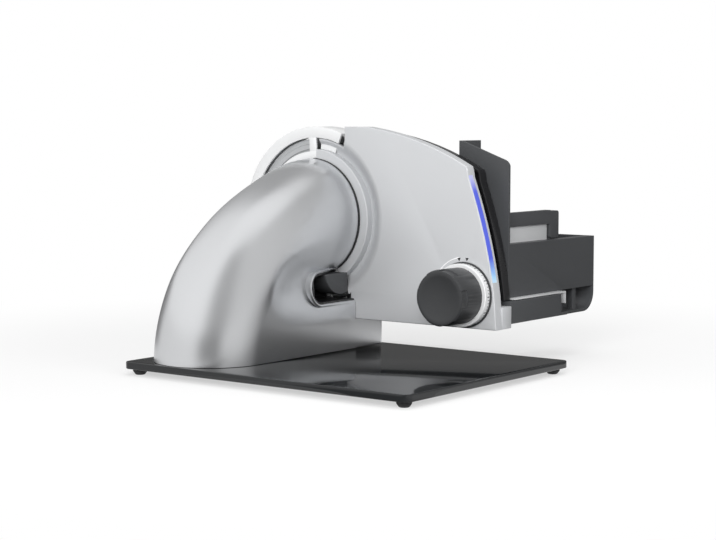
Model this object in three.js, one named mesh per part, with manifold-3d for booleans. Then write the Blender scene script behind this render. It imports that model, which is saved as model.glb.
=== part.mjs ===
// Electric food slicer on a glass base: a horn-shaped motor housing carries the blade, the thickness
// plate with its knob, and a carriage that slides past the blade. Millimetres, +Z up, +X along the
// carriage's travel towards the user, +Y from the motor side to the food side.
import * as THREE from 'three';
import { mergeVertices } from 'three/addons/utils/BufferGeometryUtils.js';
import Module from 'manifold-3d';

const wasm = await Module();
wasm.setup();

// Clearances
const seat = 0.3; // between pieces that sit on each other
const run = 0.6; // between pieces that slide or turn past each other

// Base plate and its feet
const baseLength = 340;
const baseDepth = 270;
const baseThick = 7;
const baseCorner = 8;
const footHeight = 6;
const footTopRadius = 7;
const footTipRadius = 4.8;
const footInset = 12;

// Horn: a housing bent from an upright foot into a level neck
const hornX = -107; // middle plane of the horn and axis of the blade
const neckEndY = 80; // plane where the neck meets the housing plate
const hubRise = 132; // blade axis above the glass
const footReach = 155; // from the neck plane to the middle of the foot's round front
const lowElbowReach = 146.5;
const elbowReach = 133;
const highElbowReach = 126.5;
const footRadius = 57;
const neckRadius = 61;
const hornWall = 3.5;
const podiumRise = 44; // straight side wall under the neck
const wallEase = 0.35; // how far the podium wall stays upright into the hollow under the neck
const neckEase = 0.45; // how far the neck's round side carries on into that hollow
const valleyStart = 25; // degrees round the elbow where that hollow begins
const neckUndercut = 58; // degrees below level where the neck's round side ends
const podiumBack = 51; // podium behind the neck plane
const podiumBackRise = 25;
const podiumCorner = 10;
const plateNotch = 11; // step in the side wall for the housing plate's lower corner
const elbowSteps = 10;

// Bottom cover, its posts and screws
const coverThick = 3;
const coverGap = 2;
const postRadius = 5;
const postSpreadX = 38;
const postFrontY = -30;
const postBackX = 10;
const postBackY = 30;
const screwRadius = 2.2;
const screwHeadRadius = 4.5;
const screwHeadHeight = 3;
const screwDepth = 14;

// Cord gland in the back wall of the podium
const glandRadius = 6;
const glandFlange = 8.5;
const glandBore = 3.5;
const glandSide = 30;
const glandRise = 13;

// Switch in the hollow under the neck
const pocketFront = 11.5;
const pocketRamp = 0.61; // slope of its front end towards the floor, clear of the motor
const pocketBottomRise = 49;
const pocketHeight = 31;
const pocketDepth = 17; // floor of the pocket from the horn's middle plane
const pocketWall = 1.8;
const pocketOverrun = 30; // pocket cut past the neck plane
const pocketClear = 20; // pocket cut past the podium wall
const buttonRadius = 28.5;
const buttonY = 70; // centre of the button's round edge
const buttonRise = 84;
const buttonEdge = 5;
const buttonProud = 28;
const buttonTravel = 3;
const switchLength = 14;
const stemRadius = 3.5;

// Motor, worm and wheel
const wheelY = 0;
const wheelTeeth = 20;
const wheelRadius = 20; // pitch radius
const wheelWidth = 10;
const wormRadius = 7; // pitch radius
const wormLength = 24;
const toothHeight = 3;
const motorRadius = 21;
const motorLength = 72;
const motorWall = 2;
const motorFloorRise = 15; // underside of the motor above the glass
const rotorRadius = 14;
const motorShaftRadius = 3;
const fanRadius = 17;
const fanWidth = 5;
const fanBlades = 9;
const frameThick = 4;
const framePillar = 8;

// Blade and its shaft
const bladeRadius = 85;
const cutPlaneY = 116; // flat food side of the blade
const bladeThick = 2.2;
const bladeDish = 58;
const bladeDishDepth = 5.5;
const shaftRadius = 7;
const bushWall = 3;
const bushLength = 20;
const carrierRadius = 46;
const carrierThick = 3;
const capRadius = 52;
const bladeScrewCircle = 30;
const bladeScrewRadius = 3;

// Guard ring round the back of the blade
const ringRadius = 94;
const ringInner = 82.5;
const ringWall = 3;
const ringFrontY = 84;
const ringBackY = 111;
const ringLipGap = 1.5; // blade edge to the ring's turned-in back lip
const ringStart = 68; // degrees from +X towards +Z
const ringEnd = 285;
const strutWidth = 9;
const strutAngles = [92, 165, 238];
const collarWidth = 8;

// Housing plate
const plateLeft = 42; // left edge from the blade axis
const plateFlat = 28; // short flat top
const shoulderX = 84.6;
const shoulderDrop = 38;
const shoulderTurnX = 2.4; // rounding from the top into the right edge
const shoulderTurnZ = 10.5;
const heelX = 117.4;
const heelRise = 63;
const beamEndX = 120;
const plateFootInset = 7; // lower left corner from the left edge
const plateBottomRise = 30.3;
const plateWall = 4;
const plateRim = 12;
const beamDepth = 28;
const beamHeight = 21.5;
const dishRadius = 89;
const flangeRadius = 70.8;
const dishDepth = 9;
const flangeStart = -58;
const flangeEnd = 86;

// Light strip in the right rim
const ledWidth = 7;
const ledSetback = 1.2; // behind the plate's front face
const ledDepth = 1.6;
const ledBottomRise = 75;
const ledTopRise = 180;

// Knob and thickness plate
const knobX = 83;
const knobRise = 63;
const knobRadius = 27.5;
const knobLength = 33;
const knobWall = 3;
const knobGrips = 5;
const gripAngle = 38; // degrees
const gripLength = 9;
const scaleRadius = 31;
const scaleWidth = 8;
const flangeLip = 1.4;
const gripDepth = 1.4;
const stopThick = 4;
const stopRim = 7;
const stopRimWall = 3;
const stopScrewHead = 4.5;
const stopTravel = 20;
const stopGap = 2.5; // thickness plate to blade edge
const postSize = 14;
const bossRadius = 15;

// Rail bed
const railLeft = -130;
const railRight = 105;
const railNearY = 118.5;
const railFarY = 204;
const railBottomRise = 34;
const railHeight = 22;
const railLip = 13;
const railLipThick = 3;
const railWall = 3;
const bracketLeft = -5;
const railStopThick = 4;
const endCapRight = 119;

// Carriage
const sheet = 1.5;
const trayLeft = -95;
const trayRight = 117;
const trayFarY = 216.5;
const trayLip = 12.5;
const guardGap = 2; // guard wall to the cutting plane
const guardThick = 3;
const guardLeft = 50.6;
const guardRise = 212.5;
const guardShoulderX = 101;
const guardShoulderDrop = 17.4;
const guardCorner = 7;
const tabDepth = 35;
const tabHeight = 29;
const wallRight = 109.5;
const wallThick = 10.7;
const wallRise = 111; // top of the push wall above the glass
const boxNearY = 219;
const boxFarY = 286;
const boxLeft = 52;
const boxWall = 3;
const boxDrop = 26; // box below the push wall
const boxCorner = 20;
const boxHeel = 5;
const gripRibWidth = 7;
const plateTopRise = 128; // top edge of the steel wall above the glass
const plateFarY = 208;
const glideLength = 18;
const glideSpots = [64, 98];

// Pusher
const armWidth = 7;
const armHeight = 14;
const armHang = 1;
const armFrontY = 133;
const armOverhang = 3;
const armPost = 16;
const pusherThick = 4;
const pusherLeft = -10;
const pusherHeight = 78;
const pusherRise = 4;
const spikeLength = 5;
const spikeCount = 4;
const spikeSpacing = 24;

// Derived levels and planes
const baseTop = footHeight + baseThick;
const floor = baseTop + seat;
const hubZ = baseTop + hubRise;
const motorX = hornX + wheelRadius + wormRadius;
const hubFrontY = neckEndY + seat;
const plateBottom = baseTop + plateBottomRise;
const plateTop = hubZ + ringRadius;
const knobZ = baseTop + knobRise;
const railBottom = baseTop + railBottomRise;
const railTop = railBottom + railHeight;
const trayUnder = railTop + run;
const trayTop = trayUnder + sheet;
const guardY = cutPlaneY + guardGap;
const beamTop = plateBottom + beamHeight;
const rootX = (ringRadius - hornX - baseLength / 2) / 2;
const rootY = (baseDepth / 2 - boxFarY) / 2;

// Geometry helpers
function solid(geometry) {
  const bare = geometry.index ? geometry.toNonIndexed() : geometry.clone();
  bare.deleteAttribute('normal');
  bare.deleteAttribute('uv');
  const merged = mergeVertices(bare, 1e-4);
  const index = merged.index.array;
  const kept = [];
  for (let i = 0; i < index.length; i += 3) {
    const [a, b, c] = [index[i], index[i + 1], index[i + 2]];
    if (a !== b && b !== c && c !== a) kept.push(a, b, c);
  }
  const vertProperties = new Float32Array(merged.attributes.position.array);
  const triVerts = new Uint32Array(kept);
  return new wasm.Manifold(new wasm.Mesh({ numProp: 3, vertProperties, triVerts }));
}

function skin(body) {
  const mesh = body.getMesh();
  const geometry = new THREE.BufferGeometry();
  geometry.setAttribute('position', new THREE.BufferAttribute(mesh.vertProperties, 3));
  geometry.setIndex(new THREE.BufferAttribute(mesh.triVerts, 1));
  geometry.computeVertexNormals();
  return geometry;
}

function extrude(outline, depth, segments) {
  const options = { depth, bevelEnabled: false, curveSegments: segments };
  return new THREE.ExtrudeGeometry(outline, options);
}

// Outline in X and Z, drawn out along +Y from one plane to another
function plate(outline, nearY, farY, segments = 8) {
  const geometry = extrude(outline, farY - nearY, segments);
  geometry.rotateX(Math.PI / 2);
  geometry.translate(0, farY, 0);
  return solid(geometry);
}

const alongXTurn = new THREE.Matrix4().makeBasis(
  new THREE.Vector3(0, 1, 0),
  new THREE.Vector3(0, 0, 1),
  new THREE.Vector3(1, 0, 0),
);

// Outline in Y and Z, drawn out along +X
function bar(outline, leftX, rightX, segments = 8) {
  const geometry = extrude(outline, rightX - leftX, segments);
  geometry.applyMatrix4(alongXTurn);
  geometry.translate(leftX, 0, 0);
  return solid(geometry);
}

// Outline in X and Y, drawn upwards
function slab(outline, lowZ, highZ, segments = 8) {
  const geometry = extrude(outline, highZ - lowZ, segments);
  geometry.translate(0, 0, lowZ);
  return solid(geometry);
}

function block(x0, x1, y0, y1, z0, z1) {
  const geometry = new THREE.BoxGeometry(x1 - x0, y1 - y0, z1 - z0);
  geometry.translate((x0 + x1) / 2, (y0 + y1) / 2, (z0 + z1) / 2);
  return solid(geometry);
}

// Closed profile of [radius, height] pairs turned round the Y axis, with its faces pointing out
function revolve(profile, segments) {
  const points = profile.map(([r, y]) => new THREE.Vector2(r, y));
  let area = 0;
  points.forEach((p, i) => {
    const q = points[(i + 1) % points.length];
    area += p.x * q.y - q.x * p.y;
  });
  if (area < 0) points.reverse();
  points.push(points[0].clone());
  return new THREE.LatheGeometry(points, segments);
}

function roundY(profile, x, z, segments = 32) {
  const geometry = revolve(profile, segments);
  geometry.translate(x, 0, z);
  return solid(geometry);
}

function roundZ(profile, x, y, segments = 24) {
  const geometry = revolve(profile, segments);
  geometry.rotateX(Math.PI / 2);
  geometry.translate(x, y, 0);
  return solid(geometry);
}

// The same, round the blade axis and round the motor axis
function onBlade(profile, segments) {
  return roundY(profile, hornX, hubZ, segments);
}

function onMotor(profile, segments) {
  return roundZ(profile, motorX, wheelY, segments);
}

function rodProfile(radius, low, high) {
  return [[0, low], [radius, low], [radius, high], [0, high]];
}

function tubeProfile(inner, outer, low, high) {
  return [[inner, low], [outer, low], [outer, high], [inner, high]];
}

function roundedRect(x0, x1, y0, y1, radius) {
  const shape = new THREE.Shape();
  shape.moveTo(x0 + radius, y0);
  shape.lineTo(x1 - radius, y0);
  shape.absarc(x1 - radius, y0 + radius, radius, -Math.PI / 2, 0);
  shape.lineTo(x1, y1 - radius);
  shape.absarc(x1 - radius, y1 - radius, radius, 0, Math.PI / 2);
  shape.lineTo(x0 + radius, y1);
  shape.absarc(x0 + radius, y1 - radius, radius, Math.PI / 2, Math.PI);
  shape.lineTo(x0, y0 + radius);
  shape.absarc(x0 + radius, y0 + radius, radius, Math.PI, Math.PI * 1.5);
  return shape;
}

function polygon(points) {
  return new THREE.Shape(points.map(([x, y]) => new THREE.Vector2(x, y)));
}

// Sector round the blade axis between two angles, used to trim full rings
function wedge(startDeg, endDeg, radius, nearY, farY) {
  const shape = new THREE.Shape();
  const start = THREE.MathUtils.degToRad(startDeg);
  const end = THREE.MathUtils.degToRad(endDeg);
  shape.moveTo(hornX, hubZ);
  shape.lineTo(hornX + radius * Math.cos(start), hubZ + radius * Math.sin(start));
  shape.absarc(hornX, hubZ, radius, start, end);
  return plate(shape, nearY, farY, 24);
}

// Closed loops of points joined into a skin, with flat ends
function loft(loops, flatten) {
  const count = loops[0].length;
  const positions = [];
  const push = (...points) => points.forEach((p) => positions.push(p.x, p.y, p.z));
  for (let i = 0; i + 1 < loops.length; i += 1) {
    for (let j = 0; j < count; j += 1) {
      const k = (j + 1) % count;
      push(loops[i][j], loops[i + 1][k], loops[i][k]);
      push(loops[i][j], loops[i + 1][j], loops[i + 1][k]);
    }
  }
  const last = loops.length - 1;
  for (const [a, b, c] of THREE.ShapeUtils.triangulateShape(flatten(loops[0]), [])) {
    push(loops[0][a], loops[0][b], loops[0][c]);
  }
  for (const [a, b, c] of THREE.ShapeUtils.triangulateShape(flatten(loops[last]), [])) {
    push(loops[last][c], loops[last][b], loops[last][a]);
  }
  const geometry = new THREE.BufferGeometry();
  geometry.setAttribute('position', new THREE.Float32BufferAttribute(positions, 3));
  return solid(geometry);
}

const part = new THREE.Group();
const model = new THREE.Group();
part.add(model);

const finish = {
  glass: { color: 0x0d0e11, roughness: 0.08, metalness: 0 },
  rubber: { color: 0x151515, roughness: 0.8, metalness: 0 },
  horn: { color: 0x9a9da2, roughness: 0.34, metalness: 0.85 },
  silver: { color: 0xc4c5ca, roughness: 0.42, metalness: 0.7 },
  bright: { color: 0xdcdde0, roughness: 0.3, metalness: 0.85 },
  steel: { color: 0xb4b7ba, roughness: 0.28, metalness: 1 },
  dark: { color: 0x2b2c2f, roughness: 0.5, metalness: 0 },
  black: { color: 0x17181a, roughness: 0.45, metalness: 0 },
  nylon: { color: 0xe4e2da, roughness: 0.5, metalness: 0 },
  brass: { color: 0xb08d4a, roughness: 0.35, metalness: 1 },
  light: { color: 0xbfd6ff, roughness: 0.3, metalness: 0 },
};

function add(name, body, look) {
  const mesh = new THREE.Mesh(skin(body), new THREE.MeshStandardMaterial(finish[look]));
  mesh.name = name;
  model.add(mesh);
}

// Base plate with its feet
const footSpots = [
  [-1, -1],
  [1, -1],
  [-1, 1],
  [1, 1],
].map(([sx, sy]) => [sx * (baseLength / 2 - footInset), sy * (baseDepth / 2 - footInset)]);

const postSpots = [
  [hornX - postSpreadX, postFrontY],
  [hornX + postSpreadX, postFrontY],
  [hornX - postBackX, postBackY],
];

function basePlate() {
  const [x, y] = [baseLength / 2, baseDepth / 2];
  let body = slab(roundedRect(-x, x, -y, y, baseCorner), footHeight, baseTop, 4);
  for (const [px, py] of postSpots) {
    body = body.subtract(roundZ(rodProfile(screwRadius + seat, footHeight - 1, baseTop + 1), px, py, 10));
  }
  return body;
}

function foot([x, y]) {
  const top = footHeight - seat;
  const profile = [[0, 0], [footTipRadius, 0], [footTopRadius, top * 0.6], [footTopRadius, top], [0, top]];
  return roundZ(profile, x, y, 12);
}

add('base_plate', basePlate(), 'glass');
footSpots.forEach((spot, i) => add(`foot_${i + 1}`, foot(spot), 'rubber'));

// Horn: sections fan out from the line where the neck plane meets the glass. Each is half a path from
// the podium wall over the hollow to the round top, mirrored about the middle plane.
const reach = new THREE.SplineCurve(
  [footReach, lowElbowReach, elbowReach, highElbowReach, hubRise].map((r, i) => new THREE.Vector2(i, r)),
);

function smooth(t) {
  const s = THREE.MathUtils.clamp(t, 0, 1);
  return s * s * (3 - 2 * s);
}

// Half section as [half width, distance from the fan line] for one turn of the elbow
function hornSection(angle, inset, detail) {
  const centre = reach.getPoint(angle / 90).y;
  const radius = THREE.MathUtils.lerp(footRadius, neckRadius, angle / 90) - inset;
  const wall = footRadius - inset;
  const pinch = smooth((angle - valleyStart) / (90 - valleyStart));
  const under = THREE.MathUtils.degToRad(-neckUndercut) * pinch;
  const wallTop = podiumRise - inset * pinch;
  const low = new THREE.Vector2(wall, wallTop);
  const high = new THREE.Vector2(radius * Math.cos(under), centre + radius * Math.sin(under));
  const span = low.distanceTo(high);
  const lowEase = new THREE.Vector2(wall, low.y + span * wallEase);
  const along = new THREE.Vector2(-Math.sin(under), Math.cos(under));
  const highEase = high.clone().addScaledVector(along, -span * neckEase);
  const points = [new THREE.Vector2(wall, inset + 2)];
  points.push(...new THREE.CubicBezierCurve(low, lowEase, highEase, high).getPoints(detail * 2));
  const arc = new THREE.Path();
  arc.absarc(0, centre, radius, under, Math.PI / 2);
  points.push(...arc.getPoints(detail * 3).slice(1));
  return points;
}

function hornBody(inset, steps, detail) {
  const loops = [];
  for (let i = 0; i <= steps; i += 1) {
    const angle = (90 * i) / steps;
    const [c, s] = [Math.cos(THREE.MathUtils.degToRad(angle)), Math.sin(THREE.MathUtils.degToRad(angle))];
    const half = hornSection(angle, inset, detail);
    const other = half.slice(0, -1).reverse().map((p) => new THREE.Vector2(-p.x, p.y));
    const full = half.concat(other);
    loops.push(full.map((p) => new THREE.Vector3(hornX + p.x, neckEndY - p.y * c, floor + p.y * s)));
  }
  const flatten = (loop) =>
    loop.map((p) => new THREE.Vector2(p.x - hornX, Math.hypot(p.y - neckEndY, p.z - floor)));
  return loft(loops, flatten);
}

// Low block that carries the podium on behind the neck plane
function podium(inset) {
  const width = footRadius - inset;
  const [front, back] = [neckEndY - podiumRise * 1.2, neckEndY + podiumBack - inset];
  const outline = roundedRect(hornX - width, hornX + width, front, back, podiumCorner - inset);
  return slab(outline, inset ? floor - 1 : floor, floor + podiumBackRise - inset, 4);
}

const pocketOutline = (inset) => {
  const low = baseTop + pocketBottomRise + inset;
  const high = low + pocketHeight - 2 * inset;
  const radius = pocketHeight / 2 - inset - 0.5;
  return roundedRect(pocketFront + inset, neckEndY + pocketOverrun, low, high, radius);
};

// Room of the pocket: its round-ended opening, run in behind a sloping front end down to a floor
function pocketRoom(inset, floorX, segments) {
  const far = hornX + footRadius + pocketClear;
  const [near, back] = [pocketFront + inset * 1.2, neckEndY + pocketOverrun];
  const onWall = hornX + footRadius;
  const plan = polygon([
    [far, near - (far - onWall) * pocketRamp],
    [far, back],
    [floorX, back],
    [floorX, near + (onWall - floorX) * pocketRamp],
  ]);
  return bar(pocketOutline(inset), floorX, far, segments).intersect(slab(plan, floor, plateTop));
}

const hornOuter = hornBody(0, elbowSteps, 3).add(podium(0));
const glandX = hornX - glandSide;
const glandZ = baseTop + glandRise;
const podiumBackY = neckEndY + podiumBack;

function hornShell() {
  const wallY = neckEndY - hornWall;
  const hollow = hornBody(hornWall, Math.round(elbowSteps / 2), 2);
  const behind = block(hornX - 2 * footRadius, hornX + 2 * footRadius, wallY, wallY + 20, 0, plateTop);
  const inner = hollow.subtract(behind).add(podium(hornWall));
  const half = footRadius - hornWall;
  const [front, back] = [neckEndY - footReach, podiumBackY - hornWall];
  const underside = roundedRect(hornX - half, hornX + half, front, back, podiumCorner - hornWall);
  const opening = slab(underside, floor - 1, floor + hornWall + 1, 4);
  const pocket = pocketRoom(0, hornX + pocketDepth - 2);
  const notch = block(
    hornX + plateLeft + plateFootInset - run,
    hornX + footRadius + 1,
    neckEndY - plateNotch,
    neckEndY + 1,
    plateBottom - run,
    baseTop + pocketBottomRise + 1,
  );
  const through = rodProfile(glandRadius, podiumBackY - hornWall - 2, podiumBackY + 1);
  const hole = roundY(through, glandX, glandZ, 16);
  const mouth = onBlade(rodProfile(neckRadius - hornWall, wallY - 2, neckEndY + 1), 40);
  const shell = hornOuter.subtract(inner).subtract(opening).subtract(hole).subtract(mouth);
  return shell.subtract(pocket).subtract(notch);
}

add('horn_shell', hornShell(), 'horn');

// Bottom cover inside the foot, with three posts that carry the gear frame
const motorBottom = baseTop + motorFloorRise;
const motorTop = motorBottom + motorLength;
const frameBottom = motorTop + seat;
const frameTop = frameBottom + frameThick;
const coverTop = floor + coverThick;

function bottomCover() {
  const half = footRadius - hornWall - coverGap;
  const backY = podiumBackY - hornWall - coverGap;
  const outline = new THREE.Shape();
  outline.moveTo(hornX + half, backY);
  outline.lineTo(hornX - half, backY);
  outline.lineTo(hornX - half, neckEndY - footReach);
  outline.absarc(hornX, neckEndY - footReach, half, Math.PI, 2 * Math.PI);
  let body = slab(outline, floor, coverTop, 12);
  for (const [x, y] of postSpots) {
    body = body.add(roundZ(rodProfile(postRadius, floor + 1, frameBottom - seat), x, y, 10));
    body = body.subtract(roundZ(rodProfile(screwRadius + seat, floor - 1, floor + screwDepth), x, y, 10));
  }
  return body;
}

function baseScrew([x, y]) {
  const under = footHeight - seat;
  const profile = [
    [0, under - screwHeadHeight],
    [screwHeadRadius, under - screwHeadHeight],
    [screwHeadRadius, under],
    [screwRadius, under],
    [screwRadius, floor + screwDepth - 1],
    [0, floor + screwDepth - 1],
  ];
  return roundZ(profile, x, y, 10);
}

function cordGland() {
  const outer = podiumBackY + seat;
  const profile = [
    [glandBore, podiumBackY - hornWall - 2],
    [glandRadius - seat, podiumBackY - hornWall - 2],
    [glandRadius - seat, outer],
    [glandFlange, outer],
    [glandFlange - 1.5, outer + 3],
    [glandBore, outer + 3],
  ];
  return roundY(profile, glandX, glandZ, 16);
}

add('bottom_cover', bottomCover(), 'dark');
postSpots.forEach((spot, i) => add(`base_screw_${i + 1}`, baseScrew(spot), 'steel'));
add('cord_gland', cordGland(), 'black');

// Gear frame with the pillar for the rear end of the blade shaft
const pillarFar = wheelY - wheelWidth / 2 - run;
const pillarNear = pillarFar - framePillar;
const bushRadius = shaftRadius + bushWall;

function bush(nearY, farY) {
  return onBlade(tubeProfile(shaftRadius + seat, bushRadius, nearY, farY), 16);
}

function gearFrame() {
  const spread = postSpreadX + postRadius;
  const outline = roundedRect(
    hornX - spread,
    hornX + spread,
    postFrontY - postRadius,
    postBackY + postRadius,
    postRadius,
  );
  const arch = new THREE.Shape();
  const half = bushRadius + 4;
  arch.moveTo(hornX - half, frameTop - 1);
  arch.lineTo(hornX + half, frameTop - 1);
  arch.lineTo(hornX + half, hubZ);
  arch.absarc(hornX, hubZ, half, 0, Math.PI);
  const bore = onBlade(rodProfile(bushRadius + seat, pillarNear - 1, pillarFar + 1), 16);
  const eye = onMotor(rodProfile(motorShaftRadius + run, frameBottom - 1, frameTop + 1), 16);
  const body = slab(outline, frameBottom, frameTop, 3).add(plate(arch, pillarNear, pillarFar));
  return body.subtract(bore).subtract(eye);
}

add('gear_frame', gearFrame(), 'silver');
add('rear_bearing', bush(pillarNear, pillarFar), 'brass');

// Motor with its rotor, fan and worm
const wormLow = hubZ - wormLength / 2;
const wormHigh = hubZ + wormLength / 2;
const toothPitch = (2 * Math.PI * wheelRadius) / wheelTeeth;
const wormRoot = wormRadius - toothHeight / 2 - 0.4;
const fanLow = coverTop + 1.5;

function motorCan() {
  const profile = [
    [motorShaftRadius + run, motorTop - motorWall],
    [motorShaftRadius + run, motorTop],
    [motorRadius, motorTop],
    [motorRadius, motorBottom],
    [motorRadius - motorWall, motorBottom],
    [motorRadius - motorWall, motorTop - motorWall],
  ];
  return onMotor(profile, 20);
}

function motorRotor() {
  const [low, high] = [motorBottom + 10, motorTop - 12];
  const profile = [
    [0, fanLow],
    [motorShaftRadius, fanLow],
    [motorShaftRadius, low],
    [rotorRadius, low],
    [rotorRadius, high],
    [motorShaftRadius, high],
    [motorShaftRadius, wormHigh],
    [0, wormHigh],
  ];
  return onMotor(profile, 16);
}

function motorFan() {
  let body = onMotor(tubeProfile(motorShaftRadius + seat, 7, fanLow, fanLow + fanWidth), 12);
  for (let i = 0; i < fanBlades; i += 1) {
    const blade = new THREE.BoxGeometry(fanRadius - 6, 1.2, fanWidth);
    blade.translate((fanRadius + 6) / 2, 0, fanLow + fanWidth / 2);
    blade.rotateZ((2 * Math.PI * i) / fanBlades);
    blade.translate(motorX, wheelY, 0);
    body = body.add(solid(blade));
  }
  return body;
}

// One thread wound round a sleeve, its lead equal to the wheel's tooth pitch
function driveWorm() {
  const turns = (wormLength - toothPitch) / toothPitch;
  const perTurn = 12;
  const tip = wormRadius + toothHeight / 2;
  const loops = [];
  for (let i = 0; i <= Math.round(turns * perTurn); i += 1) {
    const angle = (2 * Math.PI * i) / perTurn;
    const z = hubZ + toothPitch * (i / perTurn - turns / 2);
    const ring = [
      [wormRoot - 0.8, -1.55],
      [tip, -0.75],
      [tip, 0.75],
      [wormRoot - 0.8, 1.55],
    ];
    const turn = ([r, dz]) =>
      new THREE.Vector3(motorX + r * Math.cos(angle), wheelY + r * Math.sin(angle), z + dz);
    loops.push(ring.map(turn));
  }
  const flatten = (loop) =>
    loop.map((p) => new THREE.Vector2(Math.hypot(p.x - motorX, p.y - wheelY), p.z));
  const sleeve = onMotor(tubeProfile(motorShaftRadius + seat, wormRoot, wormLow, wormHigh), 16);
  return sleeve.add(loft(loops, flatten));
}

add('motor_can', motorCan(), 'steel');
add(
  'motor_end_cap',
  onMotor(tubeProfile(motorShaftRadius + run, motorRadius, motorBottom - 3 - seat, motorBottom - seat), 20),
  'dark',
);
add('motor_rotor', motorRotor(), 'steel');
add('motor_fan', motorFan(), 'black');
add('drive_worm', driveWorm(), 'steel');

// Worm wheel: teeth slanted by the worm's lead angle
function driveGear() {
  const outline = new THREE.Shape();
  const [root, tip] = [wheelRadius - toothHeight / 2 - 0.4, wheelRadius + toothHeight / 2];
  const step = (2 * Math.PI) / wheelTeeth;
  const flank = [
    [-0.29, root],
    [-0.13, tip],
    [0.13, tip],
    [0.29, root],
  ];
  for (let i = 0; i < wheelTeeth; i += 1) {
    for (const [share, r] of flank) {
      const angle = step * (i + 0.5 + share);
      const [x, z] = [r * Math.cos(angle), r * Math.sin(angle)];
      if (outline.curves.length || outline.currentPoint.lengthSq() > 0) outline.lineTo(x, z);
      else outline.moveTo(x, z);
    }
  }
  const geometry = new THREE.ExtrudeGeometry(outline, { depth: wheelWidth, steps: 2, bevelEnabled: false });
  geometry.rotateX(Math.PI / 2);
  geometry.translate(0, wheelWidth / 2, 0);
  const lean = toothPitch / (2 * Math.PI * wormRadius) / wheelRadius;
  const position = geometry.attributes.position;
  for (let i = 0; i < position.count; i += 1) {
    const point = new THREE.Vector3().fromBufferAttribute(position, i);
    point.applyAxisAngle(new THREE.Vector3(0, 1, 0), lean * point.y);
    position.setXYZ(i, point.x, point.y, point.z);
  }
  geometry.translate(hornX, wheelY, hubZ);
  const bore = onBlade(rodProfile(shaftRadius + seat, wheelY - wheelWidth, wheelY + wheelWidth), 16);
  return solid(geometry).subtract(bore);
}

add('drive_gear', driveGear(), 'nylon');

// Blade with its shaft, carrier, screws and cover
const dishFar = cutPlaneY - bladeDishDepth;
const dishNear = dishFar - bladeThick;
const carrierFar = dishNear - seat;
const carrierNear = carrierFar - carrierThick;
const bladeScrewSpots = [0, 1, 2].map((i) => {
  const angle = (2 * Math.PI * i) / 3 + Math.PI / 2;
  return [hornX + bladeScrewCircle * Math.cos(angle), hubZ + bladeScrewCircle * Math.sin(angle)];
});

function drill(body, nearY, farY) {
  const hole = rodProfile(bladeScrewRadius + seat, nearY, farY);
  let drilled = body;
  for (const [x, z] of bladeScrewSpots) drilled = drilled.subtract(roundY(hole, x, z, 10));
  return drilled;
}

function blade() {
  const bevel = 7;
  const profile = [
    [0, dishNear],
    [bladeDish, dishNear],
    [bladeDish + bevel, cutPlaneY - bladeThick],
    [bladeRadius - bevel, cutPlaneY - bladeThick],
    [bladeRadius, cutPlaneY - 0.5],
    [bladeRadius, cutPlaneY],
    [bladeDish + bevel, cutPlaneY],
    [bladeDish, dishFar],
    [0, dishFar],
  ];
  return drill(onBlade(profile, 44), dishNear - 1, dishFar + 1);
}

function bladeScrew([x, z]) {
  const headNear = dishFar + seat;
  const profile = [
    [0, carrierNear + 0.5],
    [bladeScrewRadius, carrierNear + 0.5],
    [bladeScrewRadius, headNear],
    [bladeScrewRadius * 1.8, headNear],
    [bladeScrewRadius * 1.8, headNear + 1.6],
    [0, headNear + 1.6],
  ];
  return roundY(profile, x, z, 10);
}

function bladeCap() {
  const [low, high] = [dishFar + seat, cutPlaneY - run];
  const lid = 1.6;
  const profile = [
    [0, high],
    [capRadius - 2, high],
    [capRadius, high - 2],
    [capRadius, low],
    [capRadius - 2.5, low],
    [capRadius - 2.5, high - lid],
    [0, high - lid],
  ];
  return onBlade(profile, 32);
}

const carrier = onBlade(rodProfile(carrierRadius, carrierNear, carrierFar), 28);
add('blade_shaft', onBlade(rodProfile(shaftRadius, pillarNear - 1, carrierNear - seat), 16), 'steel');
add('blade_carrier', drill(carrier, carrierNear - 1, carrierFar + 1), 'silver');
add('blade', blade(), 'steel');
bladeScrewSpots.forEach((spot, i) => add(`blade_screw_${i + 1}`, bladeScrew(spot), 'steel'));
add('blade_cap', bladeCap(), 'steel');

// Guard ring: an open ring of angle section on struts from a collar round the hub
const hubDisc = neckRadius - 1;

function guardRing() {
  const section = [
    [ringInner, ringFrontY],
    [ringRadius, ringFrontY],
    [ringRadius, ringBackY],
    [bladeRadius + ringLipGap, ringBackY],
    [bladeRadius + ringLipGap, ringBackY - ringWall],
    [ringRadius - ringWall, ringBackY - ringWall],
    [ringRadius - ringWall, ringFrontY + ringWall],
    [ringInner, ringFrontY + ringWall],
  ];
  const far = ringRadius * 2;
  let body = onBlade(section, 48).intersect(wedge(ringStart, ringEnd, far, ringFrontY - 1, ringBackY + 1));
  const inner = hubDisc + run;
  const collar = onBlade(tubeProfile(inner, inner + collarWidth, ringFrontY, ringFrontY + ringWall), 36);
  const [first] = strutAngles;
  const lead = THREE.MathUtils.radToDeg(strutWidth / 2 / inner);
  const arc = wedge(first - lead, 360 + flangeStart - 3, far, ringFrontY - 1, ringBackY);
  body = body.add(collar.intersect(arc));
  for (const angle of strutAngles) {
    const [start, end] = [inner + 2, ringInner + 2];
    const strut = new THREE.BoxGeometry(end - start, ringWall, strutWidth);
    strut.translate((start + end) / 2, ringFrontY + ringWall / 2, 0);
    strut.rotateY(-THREE.MathUtils.degToRad(angle));
    strut.translate(hornX, 0, hubZ);
    body = body.add(solid(strut));
  }
  return body;
}

add('guard_ring', guardRing(), 'bright');

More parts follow.
